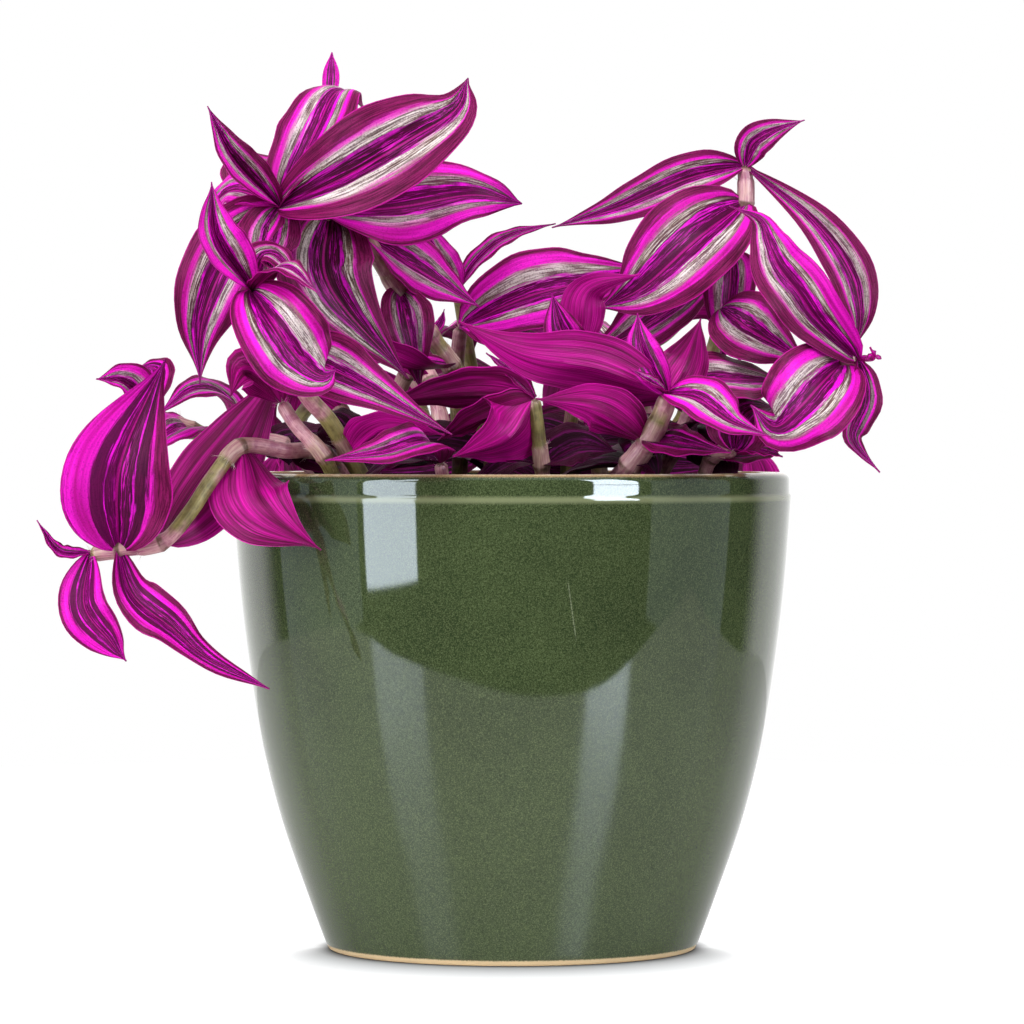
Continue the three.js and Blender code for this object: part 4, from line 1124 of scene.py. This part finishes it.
def number(name, description, default, low=0.0, high=100.0, unit="NONE"):
    return FloatProperty(name=name, description=description, default=default, min=low, max=high, unit=unit)


def whole(name, description, default, low, high):
    return IntProperty(name=name, description=description, default=default, min=low, max=high)


def paint(name, description, default):
    return FloatVectorProperty(name=name, description=description, subtype="COLOR", size=4, default=default,
                               min=0.0, max=1.0)


class PotSettings(bpy.types.PropertyGroup):
    sides: whole("Sides", "Faces around the pot", 160, 24, 512)
    wall_steps: whole("Wall steps", "Rings up the bellied wall", 56, 8, 200)
    glaze: paint("Glaze", "Colour of the glaze where it is palest", tint(58, 71, 43))
    clay: paint("Clay", "Colour of the bare clay at the foot", tint(206, 180, 140))


class SoilSettings(bpy.types.PropertyGroup):
    roughness: number("Roughness", "How far the soil's top rises and falls, in mm", 1.6, 0.0, 4.0)
    crumbs: whole("Crumbs", "Loose crumbs on the soil", 420, 0, 2000)
    crumb_size: number("Crumb size", "Largest crumb's radius, in mm", 1.7, 0.3, 4.0)
    bark: paint("Bark", "Colour of the soil where it is palest", tint(62, 45, 34))


class LeafSettings(bpy.types.PropertyGroup):
    rows_along: whole("Rows", "Rows of faces along each blade", 26, 6, 60)
    columns_across: whole("Columns", "Columns of faces across each blade", 14, 4, 40)
    tip_half: number("Tip", "Half of the tip's width, in mm", 0.15, 0.05)
    puff: number("Puff", "How far each half swells, as a share of its width", 0.1, 0.0, 0.3)
    ripple: number("Ripple", "Height of the margin's small waves, in mm", 0.35, 0.0, 1.0)
    ripples: number("Ripples", "Small waves along each margin", 4.5, 1.0)
    middle_thickness: number("Middle thickness", "Blade at the midrib, in mm", 0.55, 0.2, 1.0)
    margin_thickness: number("Margin thickness", "Blade at its margin, in mm", 0.22, 0.1, 1.0)
    plum: paint("Plum", "Colour of the dark parts where they are palest", tint(132, 20, 88))
    magenta: paint("Magenta", "Colour of the bright parts of the upper face", tint(244, 26, 212))
    magenta_under: paint("Magenta below", "Colour of the bright parts of the lower face", tint(228, 16, 178))
    silver: paint("Silver", "Colour of the silver bands at their middle", tint(216, 204, 202))


class StemSettings(bpy.types.PropertyGroup):
    sides: whole("Sides", "Faces around each stem", 12, 5, 32)
    ring_spacing: number("Ring spacing", "Distance between rings, in mm", 1.1, 0.4, 4.0)
    node_swell: number("Node swell", "How much thicker a node is, as a share", 0.14)
    node_length: number("Node length", "Length of the swelling, in mm", 1.3, 0.3)
    sheath_length: number("Sheath length", "Leaf sheath around the stem, in mm", 6.0, 1.0)
    sheath_thickness: number("Sheath thickness", "Sheath's thickness, in mm", 0.28)
    taper: number("Taper", "How much thinner the stem's end is, as a share", 0.16, 0.0, 0.6)
    pattern_length: number("Pattern length", "Length of one run of streaks, in mm", 30.0, 5.0)
    hairs_a_node: whole("Hairs", "Fine hairs on each sheath", 16, 0, 60)
    hair_length: number("Hair length", "Longest hair, in mm", 2.4, 0.3)
    hair_radius: number("Hair radius", "Radius at a hair's root, in mm", 0.05, 0.01)


class StageSettings(bpy.types.PropertyGroup):
    table_size: number("Table size", "How large the table is, as a share of its shape", 1.0, 0.5, 3.0)
    # table_glow sets the table's painted glow, which only the camera sees
    table_glow: number("Table glow", "Light that the table adds away from the foot", 0.86)
    key_power: number("Left softbox", "Power of the tall softbox at the left", 13.4, unit="POWER")
    fill_power: number("Right softbox", "Power of the softbox at the right", 8.8, unit="POWER")
    top_power: number("Top softbox", "Power of the softbox above", 19.8, unit="POWER")
    left_gleam: number("Left gleam", "How bright the left softbox is in gloss", 12.2)
    right_gleam: number("Right gleam", "How bright the right softbox is in gloss", 26.0)
    top_gleam: number("Top gleam", "How bright the top softbox is in gloss", 1.0)
    behind_gleam: number("Rear gleam", "How bright the rear is in gloss", 1.25)
    card_gleam: number("Side cards", "How bright the cards at the sides are in gloss", 0.7)
    room: paint("Room", "Colour of the room that gloss reflects", (0.035, 0.037, 0.035, 1.0))
    room_light: number("Room light", "Strength of the soft light from all round", 0.35)


# ---------------------------------------------------------------- pieces


def settled(piece, slot, *nodes):
    """Puts a finished piece on the plant's one body, in the place of the solids that it stands for."""
    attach(piece, "root")
    if nodes:
        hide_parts(*nodes)


class PLANT_OT_pot(bpy.types.Operator):
    """Turns the glazed pot: foot, bellied wall, ridge, plain rim band and the inside"""

    bl_idname = "plant.pot"
    bl_label = "Glazed pot"

    def execute(self, context):
        form = context.scene.plant_pot
        rim, top, wall = POT["rim_radius"], POT["height"], POT["wall"]
        ridge, floor = POT["ridge_height"], POT["floor"]
        belly = belly_wall(form.wall_steps)
        outside = [tuple(row) for row in belly if row[1] > 1.2]
        shoulder = [(70.05, ridge + 0.35), (rim + 0.06, ridge + 0.8), (rim, ridge + 1.3)]
        half, rise, below = wall / 2, LIP["rise"], top - LIP["below_top"]
        lip = [(rim - half + half * math.cos(a), top - rise + rise * math.sin(a))
               for a in np.radians(np.arange(LIP["first"], 180, LIP["step"]))]
        inner_wall = [(row[0] - wall, row[1]) for row in belly[::-1] if row[1] > floor + 1]
        profile = [*FOOT_EDGE, *outside, *shoulder, (rim, below), *lip, (rim - wall, below), *inner_wall]
        mesh = Mesh()
        add_turned(mesh, turned_points(profile, form.sides), form.sides, (0, floor))
        settled(mesh.finish("glazed_pot", [make_glaze(form)]), "pot_glaze", "pot")
        return {"FINISHED"}


def soil_radius(height=SOIL["top"]):
    return float(outer_radius(height)) - POT["wall"] - SOIL["gap"]


def soil_height(x, y, roughness):
    """The soil's top at a place: a low crown with lumps of two sizes."""
    radius = np.hypot(x, y) / soil_radius()
    crown = SOIL["top"] + SOIL["crown"] * (1 - np.minimum(1, radius))
    lumps = np.sin(0.31 * x + 1.3 * np.sin(0.17 * y)) * np.cos(0.27 * y + 1.1 * np.sin(0.21 * x))
    crumbs = np.sin(1.3 * x + 2.1 * np.sin(0.9 * y)) * np.cos(1.15 * y + 1.7 * np.sin(1.1 * x))
    return crown + roughness * (0.5 * lumps + 0.35 * crumbs) * np.minimum(1, 4 * (1.02 - radius))


class PLANT_OT_soil(bpy.types.Operator):
    """Fills the pot with lumpy soil and strews loose crumbs on it"""

    bl_idname = "plant.soil"
    bl_label = "Soil"

    def execute(self, context):
        form = context.scene.plant_soil
        rings, sides, wall_rows, below_top = 46, 96, 14, 6
        share = np.repeat(np.arange(1, rings + 1) / rings, sides)
        x, y = (soil_radius() * share * np.tile(part, rings) for part in circle(sides))
        top = np.column_stack([x, y, soil_height(x, y, form.roughness)])
        top = top[::-1].reshape(rings, sides, 3)[:, ::-1]
        low = POT["floor"] + SOIL["gap"]
        heights = np.linspace(SOIL["top"] - below_top, low, wall_rows)
        wall = [(soil_radius(height), height) for height in heights]
        points = np.vstack([turned_points(wall[::-1], sides), top.reshape(-1, 3)])
        mesh = Mesh()
        add_turned(mesh, points, sides, (low, float(soil_height(0.0, 0.0, form.roughness))))
        settled(mesh.finish("potting_mix", [make_soil(form)]), "soil", "soil")
        self.strew(form)
        return {"FINISHED"}

    def strew(self, form):
        draw = Draw(SEEDS["crumbs"])
        mesh = Mesh()
        sides = 6
        ball = turned_points([(0.45, -0.7), (0.9, -0.3), (1.0, 0.2), (0.55, 0.65)], sides)
        faces = tube_faces(4, sides)
        for _ in range(form.crumbs):
            reach = (soil_radius() - 3) * math.sqrt(draw())
            bearing = 2 * math.pi * draw()
            x, y = reach * math.cos(bearing), reach * math.sin(bearing)
            size = form.crumb_size * (0.35 + 0.65 * draw() ** 2)
            centre = np.array((x, y, float(soil_height(x, y, form.roughness)) + size * 0.25))
            uneven = np.array([0.75 + 0.4 * draw() for _ in range(len(ball))])
            mesh.patch(centre + ball * (size * uneven)[:, None], faces, (draw(), 0, 0))
        settled(mesh.finish("soil_crumbs", [make_crumb()], 30.0), "soil")


class PLANT_OT_shoots(bpy.types.Operator):
    """Grows every leafy stem, with its leaves bent clear of each other, and the fine hairs on its sheaths"""

    bl_idname = "plant.shoots"
    bl_label = "Leafy stems"

    def execute(self, context):
        blade, stem = context.scene.plant_leaf, context.scene.plant_stem
        materials = [make_leaf_upper(blade), make_leaf_under(blade), make_stem_skin()]
        draw = Draw(SEEDS["blades"])
        hairs = Mesh()
        for shoot in grow_shoots():
            mesh = Mesh()
            add_stem(mesh, shoot, draw(), stem)
            for leaf in shoot["leaves"]:
                add_leaf(mesh, leaf, draw(), blade)
            add_hairs(hairs, shoot, stem, draw)
            name = shoot["name"].replace("shoot_", "leafy_stem_")
            settled(mesh.finish(name, materials), "leaves", shoot["name"])
        settled(hairs.finish("sheath_hairs", [make_hair()]), "leaves")
        return {"FINISHED"}


# ---------------------------------------------------------------- stage, light and camera

# Each softbox: where it stands, the height on the pot's axis that it faces and its size, all in metres, then
# the settings that hold its power and its gleam. A card has no lamp.
SOFTBOXES = {
    "left_softbox": ((-0.87, -0.73, 0.59), 0.59, (0.46, 1.43), "key_power", "left_gleam"),
    "right_softbox": ((0.8, -0.89, 0.78), 0.78, (0.4, 1.3), "fill_power", "right_gleam"),
    "top_softbox": ((0.0, -0.35, 1.35), 0.13, (1.5, 1.2), "top_power", "top_gleam"),
    "left_card": ((-1.2, -0.06, 0.5), 0.5, (1.0, 1.4), None, "card_gleam"),
    "right_card": ((1.17, -0.25, 0.5), 0.5, (0.9, 1.4), None, "card_gleam"),
}

# The table's edge: how far it is from the pot's axis, in metres, at each bearing in degrees to the right of
# the camera. The lower half of the pot mirrors it.
TABLE_EDGE = [(-180, 0.75), (-140, 0.62), (-105, 0.48), (-70, 0.42), (-45, 0.32), (-18, 0.27), (12, 0.25),
              (42, 0.29), (66, 0.45), (76, 0.56), (88, 0.48), (110, 0.46), (140, 0.6), (180, 0.75)]
TABLE_STEPS = 181
TABLE_DEEP = 0.02


def add_flat(name, points, faces, material):
    """A thing of the stage, made of flat faces, in metres."""
    mesh = bpy.data.meshes.new(name)
    mesh.from_pydata(points, [], faces)
    mesh.materials.append(material)
    made = bpy.data.objects.new(name, mesh)
    bpy.context.scene.collection.objects.link(made)
    return made


def add_softbox(stage, name, place, height, size, power, gleam):
    """A softbox: a light that gloss doesn't show, and a glowing sheet in its place that only gloss shows."""
    across, tall = size[0] / 2, size[1] / 2
    glow, _, skin = new_material(f"{name}_glow")
    skin["Base Color"].default_value = (0.0, 0.0, 0.0, 1.0)
    skin["Emission Color"].default_value = (0.77, 0.88, 1.0, 1.0)
    skin["Emission Strength"].default_value = getattr(stage, gleam)
    corners = [(-across, -tall, 0), (across, -tall, 0), (across, tall, 0), (-across, tall, 0)]
    front = add_flat(f"{name}_front", corners, [(3, 2, 1, 0)], glow)
    front.visible_camera = front.visible_diffuse = front.visible_shadow = front.visible_transmission = False
    pieces = [front]
    if power:
        light = bpy.data.lights.new(name, "AREA")
        light.shape = "RECTANGLE"
        light.size, light.size_y, light.energy = *size, getattr(stage, power)
        lamp = bpy.data.objects.new(name, light)
        lamp.visible_glossy = False
        bpy.context.scene.collection.objects.link(lamp)
        pieces.append(lamp)
    aim = (Vector((0, 0, height)) - Vector(place)).to_track_quat("-Z", "Y").to_euler()
    for piece in pieces:
        piece.location, piece.rotation_euler = place, aim


def make_world(stage):
    """White behind the plant. Gloss reflects a dark room in front and a bright one behind."""
    world = bpy.data.worlds.new("studio")
    bpy.context.scene.world = world
    world.use_nodes = True
    nodes = Nodes(world.node_tree)
    out, plain = world.node_tree.nodes["World Output"], world.node_tree.nodes["Background"]
    plain.inputs["Color"].default_value = WHITE
    place = nodes.add("ShaderNodeTexCoord").outputs["Generated"]
    _, ahead, above = nodes.split(Field(nodes, place))
    rear = (stage.behind_gleam,) * 3
    gloss = nodes.mix(nodes.smooth(ahead, 0.42, 0.66), tuple(stage.room), (*rear, 1))
    soft = nodes.mix(nodes.smooth(above, -0.4, 0.9), (0.55, 0.55, 0.55, 1), WHITE)
    glossy = nodes.ray("Glossy")
    lit = nodes.add("ShaderNodeBackground")
    nodes.put(lit.inputs["Color"], nodes.mix(glossy, soft, gloss))
    nodes.put(lit.inputs["Strength"], nodes.smooth(glossy, 0.0, 1.0, stage.room_light, 1.0))
    choice = nodes.add("ShaderNodeMixShader")
    nodes.put(choice.inputs[0], nodes.ray("Camera"))
    nodes.put(choice.inputs[1], Field(nodes, lit.outputs[0]))
    nodes.put(choice.inputs[2], Field(nodes, plain.outputs[0]))
    nodes.put(out.inputs["Surface"], Field(nodes, choice.outputs[0]))


class PLANT_OT_stage(bpy.types.Operator):
    """Sets out the white table, the softboxes, the white surroundings and the camera"""

    bl_idname = "plant.stage"
    bl_label = "Stage"

    def execute(self, context):
        stage, scene = context.scene.plant_stage, context.scene
        turn, reach = np.array(TABLE_EDGE, float).T
        loop = np.column_stack([np.radians(turn), reach * stage.table_size])
        turn, reach = along(loop, np.arange(TABLE_STEPS) / TABLE_STEPS).T
        outline = list(zip(reach * np.sin(turn), -reach * np.cos(turn)))
        count = len(outline)
        points = [(x, y, z) for z in (0.0, -TABLE_DEEP) for x, y in outline]
        faces = [tuple(range(count)), tuple(range(2 * count - 1, count - 1, -1))]
        faces += [(j, j + count, (j + 1) % count + count, (j + 1) % count) for j in range(count)]
        add_flat("table", points, faces, make_table_white(stage.table_glow))
        make_world(stage)
        for name, softbox in SOFTBOXES.items():
            add_softbox(stage, name, *softbox)
        camera = bpy.data.cameras.new("camera")
        camera.lens, camera.sensor_width = VIEW["lens"], VIEW["sensor"]
        eye = bpy.data.objects.new("camera", camera)
        eye.location = (0, -VIEW["distance"] * MM, VIEW["height"] * MM)
        eye.rotation_euler = (math.radians(90 - VIEW["pitch"]), 0, 0)
        scene.collection.objects.link(eye)
        scene.camera = eye
        scene.view_settings.view_transform = "Standard"
        return {"FINISHED"}


SETTINGS = {
    "plant_pot": PotSettings,
    "plant_soil": SoilSettings,
    "plant_leaf": LeafSettings,
    "plant_stem": StemSettings,
    "plant_stage": StageSettings,
}
OPERATORS = (PLANT_OT_pot, PLANT_OT_soil, PLANT_OT_shoots, PLANT_OT_stage)


class PLANT_PT_panel(bpy.types.Panel):
    """Lists the plant's settings, and its pieces in the order that they are made"""

    bl_label = "Potted tradescantia"
    bl_idname = "PLANT_PT_panel"
    bl_space_type = "VIEW_3D"
    bl_region_type = "UI"
    bl_category = "Plant"

    def draw(self, context):
        for settings in SETTINGS:
            box = self.layout.box()
            group = getattr(context.scene, settings)
            for name in group.bl_rna.properties.keys():
                if name not in ("rna_type", "name"):
                    box.prop(group, name)
        for operator in OPERATORS:
            self.layout.operator(operator.bl_idname)


def register():
    for name, settings in SETTINGS.items():
        bpy.utils.register_class(settings)
        setattr(bpy.types.Scene, name, PointerProperty(type=settings))
    for kind in (*OPERATORS, PLANT_PT_panel):
        bpy.utils.register_class(kind)


def unregister():
    for kind in (PLANT_PT_panel, *reversed(OPERATORS)):
        bpy.utils.unregister_class(kind)
    for name, settings in reversed(SETTINGS.items()):
        delattr(bpy.types.Scene, name)
        bpy.utils.unregister_class(settings)


def main():
    register()
    make_groups()
    bpy.ops.plant.pot()
    bpy.ops.plant.soil()
    bpy.ops.plant.shoots()
    bpy.ops.plant.stage()


if __name__ == "__main__":
    main()
